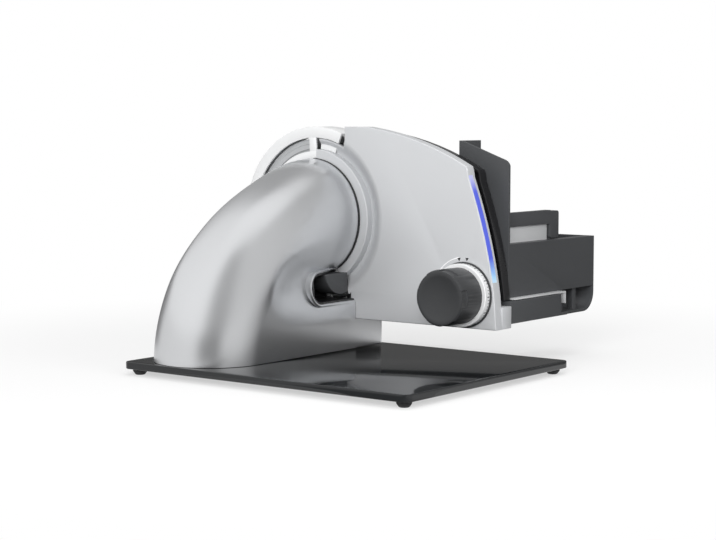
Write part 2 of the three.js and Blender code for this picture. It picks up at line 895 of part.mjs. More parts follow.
// Housing plate: a shallow casting with a crowned top, a leaning right edge and a beam along its foot
function plateOutline(inset, arcRadius, lowZ) {
  const left = hornX + plateLeft + inset;
  const top = plateTop - inset;
  const right = heelX - inset;
  const heelZ = baseTop + heelRise;
  const shoulder = new THREE.Vector2(shoulderX - inset * 0.5, plateTop - shoulderDrop - inset * 0.9);
  const neck = new THREE.Vector2(shoulder.x + shoulderTurnX, shoulder.y - shoulderTurnZ);
  const start = Math.asin((lowZ - hubZ) / arcRadius);
  const end = Math.acos((left - hornX) / arcRadius);
  const shape = new THREE.Shape();
  shape.moveTo(left, hubZ + arcRadius * Math.sin(end));
  shape.lineTo(left, top);
  shape.lineTo(left + plateFlat, top);
  shape.quadraticCurveTo((left + plateFlat + shoulder.x) / 2 + 8, top - 9.5, shoulder.x, shoulder.y);
  shape.quadraticCurveTo(shoulder.x + 1.5, shoulder.y - 3, neck.x, neck.y);
  shape.quadraticCurveTo((neck.x + right) / 2 + 7, (neck.y + heelZ) / 2, right, heelZ);
  const foot = THREE.MathUtils.lerp(right, beamEndX - inset, (heelZ - lowZ) / (heelZ - plateBottom));
  shape.lineTo(foot, lowZ);
  if (Number.isNaN(start)) shape.lineTo(hornX + plateLeft + plateFootInset + inset, lowZ);
  const from = Number.isNaN(start) ? THREE.MathUtils.degToRad(flangeStart + 2) : start;
  shape.absarc(hornX, hubZ, arcRadius, from, end);
  return shape;
}

const knobHole = postSize / 2 + run;

function squareHole(halfSize, nearY, farY) {
  return block(knobX - halfSize, knobX + halfSize, nearY, farY, knobZ - halfSize, knobZ + halfSize);
}

const ledNear = neckEndY + ledSetback;
const ledLow = baseTop + ledBottomRise;
const ledHigh = baseTop + ledTopRise;

// Band along the plate's right edge between two insets of its outline
function ledBand(outer, inner, slack) {
  const [near, far] = [ledNear - slack, ledNear + ledWidth + slack];
  const band = plate(plateOutline(outer, dishRadius, plateBottom), near, far);
  const core = plate(plateOutline(inner, dishRadius, plateBottom), near - 1, far + 1);
  const span = block(shoulderX - 6, heelX + 5, near - 1, far + 1, ledLow - slack, ledHigh + slack);
  return band.subtract(core).intersect(span);
}

function housing() {
  const front = neckEndY;
  const back = front + plateRim;
  const pocketRadius = bladeRadius + 1;
  let body = plate(plateOutline(0, dishRadius + 1, plateBottom), front, back, 14);
  body = body.subtract(plate(plateOutline(plateWall, pocketRadius, beamTop), front + plateWall, back + 1));
  const beamLeft = hornX + plateLeft + 8;
  body = body.add(block(beamLeft, beamEndX, front, front + beamDepth, plateBottom, beamTop));
  body = body.subtract(
    block(
      beamLeft + plateWall,
      beamEndX - plateWall,
      front + plateWall,
      front + beamDepth + 1,
      plateBottom + plateWall,
      beamTop - plateWall,
    ),
  );
  const groove = [
    [hubDisc - 8, front + 1],
    [flangeRadius, front + 1],
    [flangeRadius, front + 1 + dishDepth],
    [flangeRadius + 5, front + dishDepth],
    [flangeRadius + 12, front + dishDepth * 0.4],
    [dishRadius, front],
    [dishRadius + 2, front],
    [dishRadius + 2, front + plateWall],
    [bladeRadius, front + plateWall],
    [flangeRadius + 8, front + plateWall + dishDepth],
    [hubDisc - 8, front + plateWall + dishDepth],
  ];
  const dish = onBlade(groove, 48);
  const turnover = THREE.MathUtils.radToDeg(Math.acos(plateLeft / dishRadius));
  const far = ringRadius * 2;
  body = body.add(dish.intersect(wedge(flangeStart, turnover, far, front - 1, back + 9)));
  const inside = onBlade(rodProfile(ringInner - run, front - 1, back + 9), 48);
  const over = wedge(turnover - 1, flangeEnd, far, front - 1, back + 9);
  body = body.add(dish.intersect(over).intersect(inside));
  body = body.add(onBlade(rodProfile(hubDisc, hubFrontY, hubFrontY + 6), 36));
  body = body.add(onBlade(rodProfile(bushRadius + 6, hubFrontY, hubFrontY + bushLength), 24));
  const bore = rodProfile(bushRadius + seat, hubFrontY - 1, hubFrontY + bushLength + 1);
  body = body.subtract(onBlade(bore, 16));
  body = body.add(roundY(rodProfile(bossRadius, front + 1, back - 1), knobX, knobZ, 24));
  body = body.subtract(squareHole(knobHole, front - 1, back + beamDepth));
  return body.subtract(ledBand(-1, ledDepth, seat));
}

add('housing', housing(), 'silver');
add('front_bearing', bush(hubFrontY, hubFrontY + bushLength), 'brass');
add('led_strip', ledBand(0, ledDepth - seat, 0), 'light');

// Knob: a hollow grip on a short skirt, with the scale ring between grip and lip
const lipFar = neckEndY - seat;
const lipNear = lipFar - flangeLip;
const gripFar = lipNear - scaleWidth;
const gripNear = gripFar - knobLength;
const skirtRadius = scaleRadius - 5;
const knobBore = postSize * 0.75;
const postNear = gripNear + knobWall + stopTravel + run;

function sector(startDeg, endDeg) {
  const far = scaleRadius * 1.5;
  const corner = (angle) => [
    knobX + far * Math.cos(THREE.MathUtils.degToRad(angle)),
    knobZ + far * Math.sin(THREE.MathUtils.degToRad(angle)),
  ];
  return plate(polygon([[knobX, knobZ], corner(startDeg), corner(endDeg)]), gripNear - 2, gripFar);
}

function knob() {
  const edge = 3;
  const profile = [
    [0, gripNear],
    [knobRadius - edge, gripNear],
    [knobRadius, gripNear + edge],
    [knobRadius, gripFar],
    [skirtRadius, gripFar],
    [skirtRadius, lipNear],
    [scaleRadius + flangeLip, lipNear],
    [scaleRadius + flangeLip, lipFar],
    [knobBore, lipFar],
    [knobBore, gripNear + knobWall],
    [0, gripNear + knobWall],
  ];
  let body = roundY(profile, knobX, knobZ, 40);
  const notchSection = tubeProfile(knobRadius - gripDepth, scaleRadius, gripNear - 1, gripNear + gripLength);
  const ring = roundY(notchSection, knobX, knobZ, 40);
  for (let i = 0; i < knobGrips; i += 1) {
    const notch = sector((360 * i) / knobGrips - gripAngle / 2, (360 * i) / knobGrips + gripAngle / 2);
    body = body.subtract(ring.intersect(notch));
  }
  return body;
}

const scaleSection = tubeProfile(skirtRadius + seat, scaleRadius, gripFar + seat, lipNear - seat);
add('knob', knob(), 'dark');
add('scale_ring', roundY(scaleSection, knobX, knobZ, 32), 'silver');

// Thickness plate with a turned-back rim, on a square post that slides into the knob
const stopNear = cutPlaneY - stopThick;

function stopPlate() {
  const inset = plateWall + run;
  const low = beamTop + 2 * run;
  const arc = bladeRadius + stopGap;
  let body = plate(plateOutline(inset, arc, low), stopNear - stopRim, cutPlaneY);
  const hollow = plateOutline(inset + stopRimWall, bladeRadius, low - 5);
  body = body.subtract(plate(hollow, stopNear - stopRim - 1, stopNear));
  body = body.subtract(block(railRight - run, heelX + 5, 0, cutPlaneY + 1, 0, railTop + run));
  const hole = roundY(rodProfile(stopScrewHead + seat, stopNear - 1, cutPlaneY + 1), knobX, knobZ, 16);
  return body.subtract(hole);
}

function stopPost() {
  const half = postSize / 2;
  const body = squareHole(half, postNear, stopNear - seat);
  const hole = rodProfile(screwRadius + seat, stopNear - screwDepth, cutPlaneY);
  return body.subtract(roundY(hole, knobX, knobZ, 12));
}

function stopScrew() {
  const shoulder = stopNear + seat;
  const profile = [
    [0, stopNear - screwDepth + 1],
    [screwRadius, stopNear - screwDepth + 1],
    [screwRadius, shoulder],
    [stopScrewHead, cutPlaneY - 1],
    [stopScrewHead, cutPlaneY - seat],
    [0, cutPlaneY - seat],
  ];
  return roundY(profile, knobX, knobZ, 16);
}

add('stop_plate', stopPlate(), 'dark');
add('stop_post', stopPost(), 'silver');
add('stop_screw', stopScrew(), 'steel');

// Rail bed behind the blade, bracketed to the beam of the housing plate
const beamFar = neckEndY + beamDepth;

function railBed() {
  const [near, far, low, high] = [railNearY, railFarY, railBottom, railTop];
  const outline = polygon([
    [near, low],
    [near + railWall, low],
    [near + railWall, high - railWall],
    [far - railWall, high - railWall],
    [far - railWall, low],
    [far + railLip, low],
    [far + railLip, low + railLipThick],
    [far, low + railLipThick],
    [far, high],
    [near, high],
  ]);
  const bracket = block(bracketLeft, railRight, beamFar + seat, near + railWall, low, beamTop - run);
  return bar(outline, railLeft, railRight).add(bracket);
}

function endCap(leftX, rightX, nearY) {
  const outline = polygon([
    [nearY, railBottom],
    [railFarY + railLip, railBottom],
    [railFarY + railLip, railBottom + railLipThick],
    [railFarY, railBottom + railLipThick],
    [railFarY, railTop],
    [nearY, railTop],
  ]);
  return bar(outline, leftX, rightX);
}

add('rail_bed', railBed(), 'dark');
add('rail_end_cap', endCap(railRight + seat, endCapRight, beamFar + seat), 'dark');
add('rail_stop', endCap(railLeft - railStopThick, railLeft - seat, railNearY), 'dark');

// Carriage: a steel tray with a turned-down lip, and one black moulding that forms the push wall, the
// guard wall in front of the blade and an open box for the hand
function carriageTray() {
  const near = guardY + 1;
  const outline = polygon([
    [near, trayUnder],
    [trayFarY - sheet, trayUnder],
    [trayFarY - sheet, trayTop - trayLip],
    [trayFarY, trayTop - trayLip],
    [trayFarY, trayTop],
    [near, trayTop],
  ]);
  return bar(outline, trayLeft, trayRight);
}

const wallBottom = trayTop + seat;
const wallTop = baseTop + wallRise;
const wallLeft = wallRight - wallThick;
const guardTop = baseTop + guardRise;

function guardOutline() {
  const shoulderZ = guardTop - guardShoulderDrop;
  const shape = new THREE.Shape();
  shape.moveTo(guardLeft, wallBottom);
  shape.lineTo(wallRight, wallBottom);
  shape.lineTo(wallRight, shoulderZ - guardCorner);
  shape.quadraticCurveTo(wallRight - 1, shoulderZ - 2, guardShoulderX, shoulderZ);
  shape.lineTo(guardLeft + guardThick, guardTop);
  shape.lineTo(guardLeft, guardTop);
  return shape;
}

function boxOutline(inset, topZ) {
  const [near, far] = [boxNearY + inset, boxFarY - inset];
  const low = wallBottom - boxDrop + inset;
  const heel = boxHeel - inset;
  const toe = boxCorner - inset;
  const shape = new THREE.Shape();
  shape.moveTo(near, topZ);
  shape.lineTo(near, low + heel);
  shape.absarc(near + heel, low + heel, heel, Math.PI, Math.PI * 1.5);
  shape.absarc(far - toe, low + toe, toe, -Math.PI / 2, 0);
  shape.lineTo(far, topZ);
  return shape;
}

function carriageBody() {
  let body = bar(boxOutline(0, wallTop), boxLeft, wallRight, 6);
  body = body.subtract(bar(boxOutline(boxWall, wallTop + 1), boxLeft + boxWall, wallLeft, 6));
  body = body.subtract(bar(boxOutline(boxWall, wallBottom), wallLeft - 1, wallRight + 1, 6));
  const ribX = wallRight - 4;
  const ribY = (boxNearY + boxFarY) / 2;
  const ribLow = wallBottom - boxDrop + 1;
  body = body.add(
    block(wallLeft, ribX, ribY - gripRibWidth / 2, ribY + gripRibWidth / 2, ribLow, wallBottom + 1),
  );
  body = body.add(block(wallLeft, wallRight, guardY, boxNearY + boxWall, wallBottom, wallTop));
  body = body.add(plate(guardOutline(), guardY, guardY + guardThick, 6));
  body = body.add(
    block(guardLeft, guardLeft + guardThick, guardY, guardY + tabDepth, guardTop - tabHeight, guardTop),
  );
  return body;
}

const steelTop = baseTop + plateTopRise;
const steelRight = wallLeft - seat;
const steelLeft = steelRight - sheet;

function glide(x) {
  const [near, far] = [railFarY + run, trayFarY - sheet - seat];
  return block(x - glideLength / 2, x + glideLength / 2, near, far, trayTop - trayLip, trayUnder - seat);
}

add('carriage_tray', carriageTray(), 'steel');
add('carriage_body', carriageBody(), 'dark');
const steelNear = guardY + guardThick + seat;
add('wall_plate', block(steelLeft, steelRight, steelNear, plateFarY, wallBottom, steelTop), 'steel');
glideSpots.forEach((x, i) => add(`glide_${i + 1}`, glide(x), 'nylon'));

// Pusher: an arm that rides on the edge of the steel wall and a spiked plate that holds the food
const armMiddle = (steelLeft + steelRight) / 2;
const armLow = steelTop - armHang;
const armTop = armLow + armHeight;
const armFarY = plateFarY + armOverhang;

function pusherArm() {
  const [left, right] = [armMiddle - armWidth / 2, armMiddle + armWidth / 2];
  const body = block(left, right, armFrontY, armFarY, armLow, armTop);
  const [slotLeft, slotRight] = [steelLeft - run, steelRight + run];
  const slot = block(slotLeft, slotRight, armFrontY - 1, plateFarY + run, armLow - 1, steelTop + run);
  const grip = roundedRect(armFarY - 1, armFarY + armPost, wallTop + 2 * run, armTop - 1, 3);
  return body.subtract(slot).add(bar(grip, left, right, 4));
}

function pusherPlate() {
  const far = armFrontY - seat;
  const near = far - pusherThick;
  const low = trayTop + pusherRise;
  const right = steelLeft - 3;
  const earLow = steelTop + 2 * run;
  const outline = polygon([
    [pusherLeft, low],
    [right, low],
    [right, earLow],
    [armMiddle + armWidth / 2, earLow],
    [armMiddle + armWidth / 2, low + pusherHeight],
    [pusherLeft, low + pusherHeight],
  ]);
  let body = plate(outline, near, far);
  for (let i = 0; i < spikeCount; i += 1) {
    const x = pusherLeft + 10 + (i % 2) * spikeSpacing;
    const z = low + 20 + Math.floor(i / 2) * spikeSpacing;
    const cone = [[0, near - spikeLength], [0.4, near - spikeLength], [2, near + 1], [0, near + 1]];
    body = body.add(roundY(cone, x, z, 8));
  }
  return body;
}

add('pusher_arm', pusherArm(), 'black');
add('pusher_plate', pusherPlate(), 'dark');

// Switch: a lined pocket in the hollow under the neck, a domed button and the switch behind it
const linerFloor = hornX + pocketDepth;
const linerInset = seat + pocketWall;
const buttonFar = linerFloor + pocketWall + buttonProud;
const buttonNear = linerFloor + pocketWall + buttonTravel + run;
const buttonZ = baseTop + buttonRise;
const buttonTop = baseTop + pocketBottomRise + pocketHeight - linerInset - run;
const stemY = neckEndY - switchLength;
const stemZ = (buttonTop + buttonZ - buttonRadius) / 2;

function alongX(profile, y, z, segments) {
  const geometry = revolve(profile, segments);
  geometry.rotateZ(-Math.PI / 2);
  geometry.translate(0, y, z);
  return geometry;
}

function switchPocket() {
  const cup = pocketRoom(seat, linerFloor, 5).intersect(hornOuter);
  const room = pocketRoom(linerInset, linerFloor + pocketWall, 5);
  const eye = rodProfile(stemRadius + run, linerFloor - 1, linerFloor + pocketWall + 1);
  return cup.subtract(room).subtract(solid(alongX(eye, stemY, stemZ, 12)));
}

// Round face with a softened edge, cut straight along the top and beside the housing plate
function buttonFace(inset, x) {
  const radius = buttonRadius - inset;
  const [top, right] = [buttonTop - inset, neckEndY - run - inset];
  const start = Math.PI + Math.asin((buttonZ - top) / radius);
  const end = 1.5 * Math.PI + Math.asin((right - buttonY) / radius);
  const edge = new THREE.Path();
  edge.absarc(buttonY, buttonZ, radius, start, end);
  return [new THREE.Vector2(right, top), ...edge.getPoints(10)].map((p) => new THREE.Vector3(x, p.x, p.y));
}

function switchButton() {
  const loops = [
    buttonFace(buttonEdge, buttonFar),
    buttonFace(buttonEdge * 0.3, buttonFar - buttonEdge * 0.3),
    buttonFace(0, buttonFar - buttonEdge),
    buttonFace(0, buttonNear),
  ];
  const stem = rodProfile(stemRadius, linerFloor - seat - buttonTravel, buttonNear + 1);
  const flatten = (loop) => loop.map((p) => new THREE.Vector2(p.y, p.z));
  return loft(loops, flatten).add(solid(alongX(stem, stemY, stemZ, 12)));
}

function switchBody() {
  const front = linerFloor - seat;
  const half = switchLength / 2;
  const body = block(front - switchLength, front, stemY - half, stemY + half, stemZ - half, stemZ + half);
  const well = rodProfile(stemRadius + run, front - 3 * buttonTravel, front + 1);
  return body.subtract(solid(alongX(well, stemY, stemZ, 12)));
}

add('switch_pocket', switchPocket(), 'black');
add('switch_button', switchButton(), 'black');
add('switch_body', switchBody(), 'dark');

// Origin under the middle of the whole slicer
model.position.set(rootX, rootY, 0);

export default part;
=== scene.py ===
import math

import bpy
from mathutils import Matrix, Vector


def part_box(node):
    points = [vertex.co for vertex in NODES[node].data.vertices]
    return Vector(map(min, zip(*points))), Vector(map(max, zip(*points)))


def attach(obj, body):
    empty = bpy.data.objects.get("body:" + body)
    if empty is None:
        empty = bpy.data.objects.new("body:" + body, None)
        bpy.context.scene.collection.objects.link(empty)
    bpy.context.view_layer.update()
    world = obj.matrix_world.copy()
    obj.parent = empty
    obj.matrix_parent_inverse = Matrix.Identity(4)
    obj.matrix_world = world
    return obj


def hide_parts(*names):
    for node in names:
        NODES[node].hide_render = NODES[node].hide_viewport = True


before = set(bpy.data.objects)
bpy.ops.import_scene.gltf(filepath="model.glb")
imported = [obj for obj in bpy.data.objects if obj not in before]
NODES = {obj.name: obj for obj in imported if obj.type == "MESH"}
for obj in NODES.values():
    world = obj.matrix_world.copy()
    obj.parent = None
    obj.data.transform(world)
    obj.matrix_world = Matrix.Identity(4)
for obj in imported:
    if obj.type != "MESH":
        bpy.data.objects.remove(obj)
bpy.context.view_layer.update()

bl_info = {
    "name": "Food Slicer",
    "version": (1, 0, 0),
    "blender": (4, 5, 0),
    "location": "View3D > Sidebar > Slicer",
    "description": "Dresses the solids of an electric food slicer with smooth forms and finishes",
    "category": "Object",
}

MM = 0.001


def middle(node):
    """Centre of a solid's box, in metres."""
    low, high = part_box(node)
    return (low + high) / 2


# Places taken from the solids, in millimetres from the middle of the glass plate
ROOT = Vector((middle("base_plate").x, middle("base_plate").y, 0.0))


def local(point):
    """A place of the solids in millimetres from the middle of the glass plate."""
    return (point - ROOT) / MM


BASE_LOW, BASE_HIGH = (local(corner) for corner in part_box("base_plate"))
HUB_X = local(middle("blade")).x
HUB_Z = local(middle("blade")).z
CUT_Y = local(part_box("blade")[1]).y
NECK_Y = local(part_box("housing")[0]).y
FLOOR_Z = local(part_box("horn_shell")[0]).z
KNOB_X = local(middle("knob")).x
KNOB_Z = local(middle("knob")).z
PLATE_TOP = local(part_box("housing")[1]).z
PLATE_BOTTOM = local(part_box("housing")[0]).z


def at(x, y, z):
    """Place in metres from millimetres measured from the middle of the glass plate."""
    return ROOT + Vector((x, y, z)) * MM


def about_hub(radius, degrees, y):
    """Place on a circle round the blade axis, turned from +X towards +Z."""
    turn_by = math.radians(degrees)
    return at(HUB_X + radius * math.cos(turn_by), y, HUB_Z + radius * math.sin(turn_by))


def about_knob(radius, degrees, y):
    """Place on a circle round the knob axis, turned from +X towards +Z."""
    turn_by = math.radians(degrees)
    return at(KNOB_X + radius * math.cos(turn_by), y, KNOB_Z + radius * math.sin(turn_by))


# Modelling steps
def pick(*pieces):
    """Selects only these pieces, the last one active."""
    if bpy.context.object and bpy.context.object.mode != "OBJECT":
        bpy.ops.object.mode_set(mode="OBJECT")
    bpy.ops.object.select_all(action="DESELECT")
    for piece in pieces:
        piece.select_set(True)
        bpy.context.view_layer.objects.active = piece


def edit(piece, kind="VERT"):
    """Opens a piece in edit mode with all of it selected."""
    pick(piece)
    bpy.ops.object.mode_set(mode="EDIT")
    bpy.ops.mesh.select_mode(type=kind)
    bpy.ops.mesh.select_all(action="SELECT")


def done():
    bpy.ops.object.mode_set(mode="OBJECT")


def ring(points, fill="NGON"):
    """Closed outline through the points, as one face or as a bare loop."""
    pick()
    bpy.ops.mesh.primitive_circle_add(vertices=len(points), radius=0.1, fill_type=fill)
    piece = bpy.context.object
    for vertex, point in zip(piece.data.vertices, points):
        vertex.co = point
    return piece


def pull(piece, move):
    """Extrudes an outline along a vector into a closed solid."""
    edit(piece)
    bpy.ops.mesh.extrude_region_move(TRANSFORM_OT_translate={"value": move})
    bpy.ops.mesh.select_all(action="SELECT")
    bpy.ops.mesh.normals_make_consistent(inside=False)
    done()
    return piece


def turn(points, centre, axis, steps, degrees=360.0):
    """Spins a closed section about an axis; an open sector gets its end faces."""
    piece = ring(points, fill="NOTHING")
    edit(piece)
    bpy.ops.mesh.spin(steps=steps, angle=math.radians(degrees), center=centre, axis=axis)
    bpy.ops.mesh.select_all(action="SELECT")
    bpy.ops.mesh.remove_doubles(threshold=1e-6)
    bpy.ops.mesh.delete_loose(use_verts=True, use_edges=True, use_faces=False)
    if degrees < 360:
        bpy.ops.mesh.select_all(action="DESELECT")
        bpy.ops.mesh.select_non_manifold(
            extend=False, use_wire=False, use_boundary=True, use_multi_face=False,
            use_non_contiguous=False, use_verts=False,
        )
        bpy.ops.mesh.fill_holes(sides=0)
    bpy.ops.mesh.select_all(action="SELECT")
    bpy.ops.mesh.normals_make_consistent(inside=False)
    done()
    return piece


def round_hub(section, start, steps, degrees=360.0):
    """Spins a section of (radius, y) pairs about the blade axis."""
    return turn([about_hub(r, start, y) for r, y in section], at(HUB_X, 0, HUB_Z), (0, 1, 0), steps, degrees)


def round_knob(section, start, steps, degrees=360.0):
    """Spins a section of (radius, y) pairs about the knob axis."""
    return turn([about_knob(r, start, y) for r, y in section], at(KNOB_X, 0, KNOB_Z), (0, 1, 0), steps, degrees)


def block(low, high):
    """Box between two corners, in metres."""
    pick()
    bpy.ops.mesh.primitive_cube_add(size=1, location=(low + high) / 2, scale=high - low)
    bpy.ops.object.transform_apply(location=True, rotation=True, scale=True)
    return bpy.context.object


def choose(piece, kind, test):
    """Leaves selected, in edit mode, the vertices, edges or faces that pass a test."""
    edit(piece, kind)
    bpy.ops.mesh.select_all(action="DESELECT")
    done()
    data = {"VERT": piece.data.vertices, "EDGE": piece.data.edges, "FACE": piece.data.polygons}[kind]
    for item in data:
        item.select = test(item)
    bpy.ops.object.mode_set(mode="EDIT")


def modifier(piece, kind, **settings):
    """Adds a modifier and applies it."""
    pick(piece)
    bpy.ops.object.modifier_add(type=kind)
    added = piece.modifiers[-1]
    for key, value in settings.items():
        setattr(added, key, value)
    bpy.ops.object.modifier_apply(modifier=added.name)
    return piece


def soften(piece, width, segments=2, limit=30):
    """Rounds every edge sharper than the limit, width in millimetres."""
    modifier(
        piece, "BEVEL", width=width * MM, segments=segments, limit_method="ANGLE",
        angle_limit=math.radians(limit), use_clamp_overlap=True,
    )
    return smooth(piece)


def smooth(piece, limit=38):
    pick(piece)
    bpy.ops.object.shade_smooth_by_angle(angle=math.radians(limit))
    return piece


def cut(piece, tool, operation="DIFFERENCE", crossing=False):
    """Cuts one closed piece with another, or joins them, and removes the tool."""
    modifier(piece, "BOOLEAN", operation=operation, solver="EXACT", object=tool, use_self=crossing)
    bpy.data.objects.remove(tool)
    return piece


def join(pieces):
    """One piece from several."""
    pick(*reversed(pieces))
    bpy.ops.object.join()
    return bpy.context.object


def copy_of(node):
    """A merged copy of a solid, its flat faces made whole."""
    piece = bpy.data.objects.new(node, NODES[node].data.copy())
    bpy.context.scene.collection.objects.link(piece)
    edit(piece)
    bpy.ops.mesh.remove_doubles(threshold=1e-6)
    bpy.ops.mesh.dissolve_limited(angle_limit=math.radians(1.0))
    done()
    return piece


def settle(piece, name, body, slot, material, *nodes):
    """Names a finished piece, gives it its finish and its body, and hides the solids it stands for."""
    piece.name = name
    piece.data.name = name
    piece.data.materials.clear()
    piece.data.materials.append(material)
    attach(piece, body)
    if nodes:
        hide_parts(*nodes)
    return piece


# Sizes and colours that a user would change
def length(name, description, value):
    return bpy.props.FloatProperty(
        name=name, description=description, default=value * MM, min=0.0, unit="LENGTH", subtype="DISTANCE"
    )


def colour(name, description, value):
    return bpy.props.FloatVectorProperty(
        name=name, description=description, default=value, size=3, min=0.0, max=1.0, subtype="COLOR"
    )


class SlicerSizes(bpy.types.PropertyGroup):
    """Sizes of the fine forms that the solids leave out"""

    glass_edge: length("Glass edge", "Rounding of the glass plate's edge", 0.9)
    casting_edge: length("Casting edge", "Rounding of the housing plate's front edge", 1.2)
    plastic_edge: length("Plastic edge", "Rounding of the dark mouldings", 0.7)
    sheet_edge: length("Sheet edge", "Rounding of the sheet metal edges", 0.3)
    pocket_lip: length("Pocket lip", "Width of the lip round the switch pocket", 2.2)
    tick_length: length("Tick length", "Length of the long ticks on the scale ring", 3.4)
    horn_steps: bpy.props.IntProperty(
        name="Horn steps", description="Sections along the bend of the horn", default=72, min=12, max=160
    )
    tick_count: bpy.props.IntProperty(
        name="Ticks", description="Ticks round the scale ring", default=60, min=0, max=120
    )


class SlicerColours(bpy.types.PropertyGroup):
    """Base colours of the finishes"""

    horn: colour("Horn metal", "Satin metal of the horn", (0.755, 0.765, 0.78))
    paint: colour("Silver casting", "Light silver of the housing plate", (0.60, 0.61, 0.625))
    bright: colour("Bright casting", "Near-white silver of the guard ring and scale", (0.78, 0.785, 0.79))
    glass: colour("Glass", "Black of the glass plate", (0.010, 0.011, 0.012))
    plastic: colour("Dark plastic", "Dark grey of the knob and carriage", (0.048, 0.050, 0.053))
    trim: colour("Black trim", "Black of the small trim", (0.012, 0.012, 0.013))
    steel: colour("Steel", "Brushed steel of blade and tray", (0.62, 0.63, 0.64))
    rubber: colour("Rubber", "Black of the feet", (0.022, 0.022, 0.023))
    nylon: colour("Nylon", "Off-white of gear and glides", (0.70, 0.68, 0.62))
    bronze: colour("Bronze", "Bearing bronze", (0.52, 0.33, 0.15))
    light: colour("Light", "Blue of the light strip", (0.085, 0.13, 0.76))


# Finishes
def new_node(tree, kind, inputs=None, **settings):
    """Adds a shader node with the values of its sockets and its settings."""
    node = tree.nodes.new("ShaderNode" + kind)
    for key, value in settings.items():
        setattr(node, key, value)
    for key, value in (inputs or {}).items():
        node.inputs[key].default_value = value
    return node


def new_material(name):
    """A fresh node material and its tree."""
    made = bpy.data.materials.new(name)
    made.use_nodes = True
    return made, made.node_tree


def graded(tree, levels):
    """A colour ramp from (place, colour) pairs."""
    ramp = new_node(tree, "ValToRGB")
    stops = ramp.color_ramp.elements
    while len(stops) < len(levels):
        stops.new(0.5)
    for stop, (place, tone) in zip(stops, levels):
        stop.position = place
        stop.color = (*tone, 1)
    return ramp


FINE_SHARE = 0.35


def grained(name, base, metallic, roughness, grain, bump, depth, tone, spread, cloud=14.0):
    """Procedural finish: soft tone changes over the piece, fine grain in roughness and relief."""
    made, tree = new_material(name)
    link = tree.links.new
    shader = tree.nodes["Principled BSDF"]
    shader.inputs["Metallic"].default_value = metallic
    coords = new_node(tree, "TexCoord")
    mapping = new_node(tree, "Mapping", {"Scale": grain})
    link(coords.outputs["Object"], mapping.inputs["Vector"])
    fine = new_node(tree, "TexNoise", {"Scale": 1.0, "Detail": 3.0})
    link(mapping.outputs["Vector"], fine.inputs["Vector"])
    broad = new_node(tree, "TexNoise", {"Scale": cloud, "Detail": 2.0})
    link(coords.outputs["Object"], broad.inputs["Vector"])
    blend = new_node(tree, "Math", {1: FINE_SHARE}, operation="MULTIPLY_ADD")
    link(fine.outputs["Fac"], blend.inputs[0])
    share = new_node(tree, "Math", {1: 1 - FINE_SHARE}, operation="MULTIPLY")
    link(broad.outputs["Fac"], share.inputs[0])
    link(share.outputs[0], blend.inputs[2])
    darker = (*[c * (1 - tone) for c in base], 1)
    paler = (*[min(1.0, c * (1 + tone)) for c in base], 1)
    tint = new_node(tree, "Mix", {6: darker, 7: paler}, data_type="RGBA")
    link(blend.outputs[0], tint.inputs[0])
    link(tint.outputs[2], shader.inputs["Base Color"])
    rough = new_node(tree, "MapRange", {"To Min": max(0.02, roughness - spread), "To Max": roughness + spread})
    link(blend.outputs[0], rough.inputs["Value"])
    link(rough.outputs["Result"], shader.inputs["Roughness"])
    relief = new_node(tree, "Bump", {"Strength": bump, "Distance": depth * MM})
    link(fine.outputs["Fac"], relief.inputs["Height"])
    link(relief.outputs["Normal"], shader.inputs["Normal"])
    return made


def glowing(name, base, low, high):
    """Light strip: blue along most of its length, paler towards its ends."""
    made, tree = new_material(name)
    link = tree.links.new
    shader = tree.nodes["Principled BSDF"]
    shader.inputs["Base Color"].default_value = (0.02, 0.02, 0.08, 1)
    shader.inputs["Roughness"].default_value = 0.35
    shader.inputs["Emission Strength"].default_value = 0.85
    coords = new_node(tree, "TexCoord")
    split = new_node(tree, "SeparateXYZ")
    link(coords.outputs["Object"], split.inputs[0])
    along = new_node(tree, "MapRange", {"From Min": low, "From Max": high})
    link(split.outputs["Z"], along.inputs["Value"])
    cells = new_node(tree, "TexNoise", {"Scale": 160.0})
    link(coords.outputs["Object"], cells.inputs["Vector"])
    waver = new_node(tree, "Math", {1: 0.06}, operation="MULTIPLY_ADD")
    link(cells.outputs["Fac"], waver.inputs[0])
    link(along.outputs["Result"], waver.inputs[2])
    pale = [0.55 + 0.45 * c for c in base]
    levels = ((0.0, (0.75, 0.95, 1.0)), (0.10, (0.42, 0.74, 1.0)), (0.26, base), (0.86, base), (1.0, pale))
    ramp = graded(tree, levels)
    link(waver.outputs[0], ramp.inputs["Fac"])
    link(ramp.outputs["Color"], shader.inputs["Emission Color"])
    return made


FINISHES = {}
KNOB_SHADE = 0.6


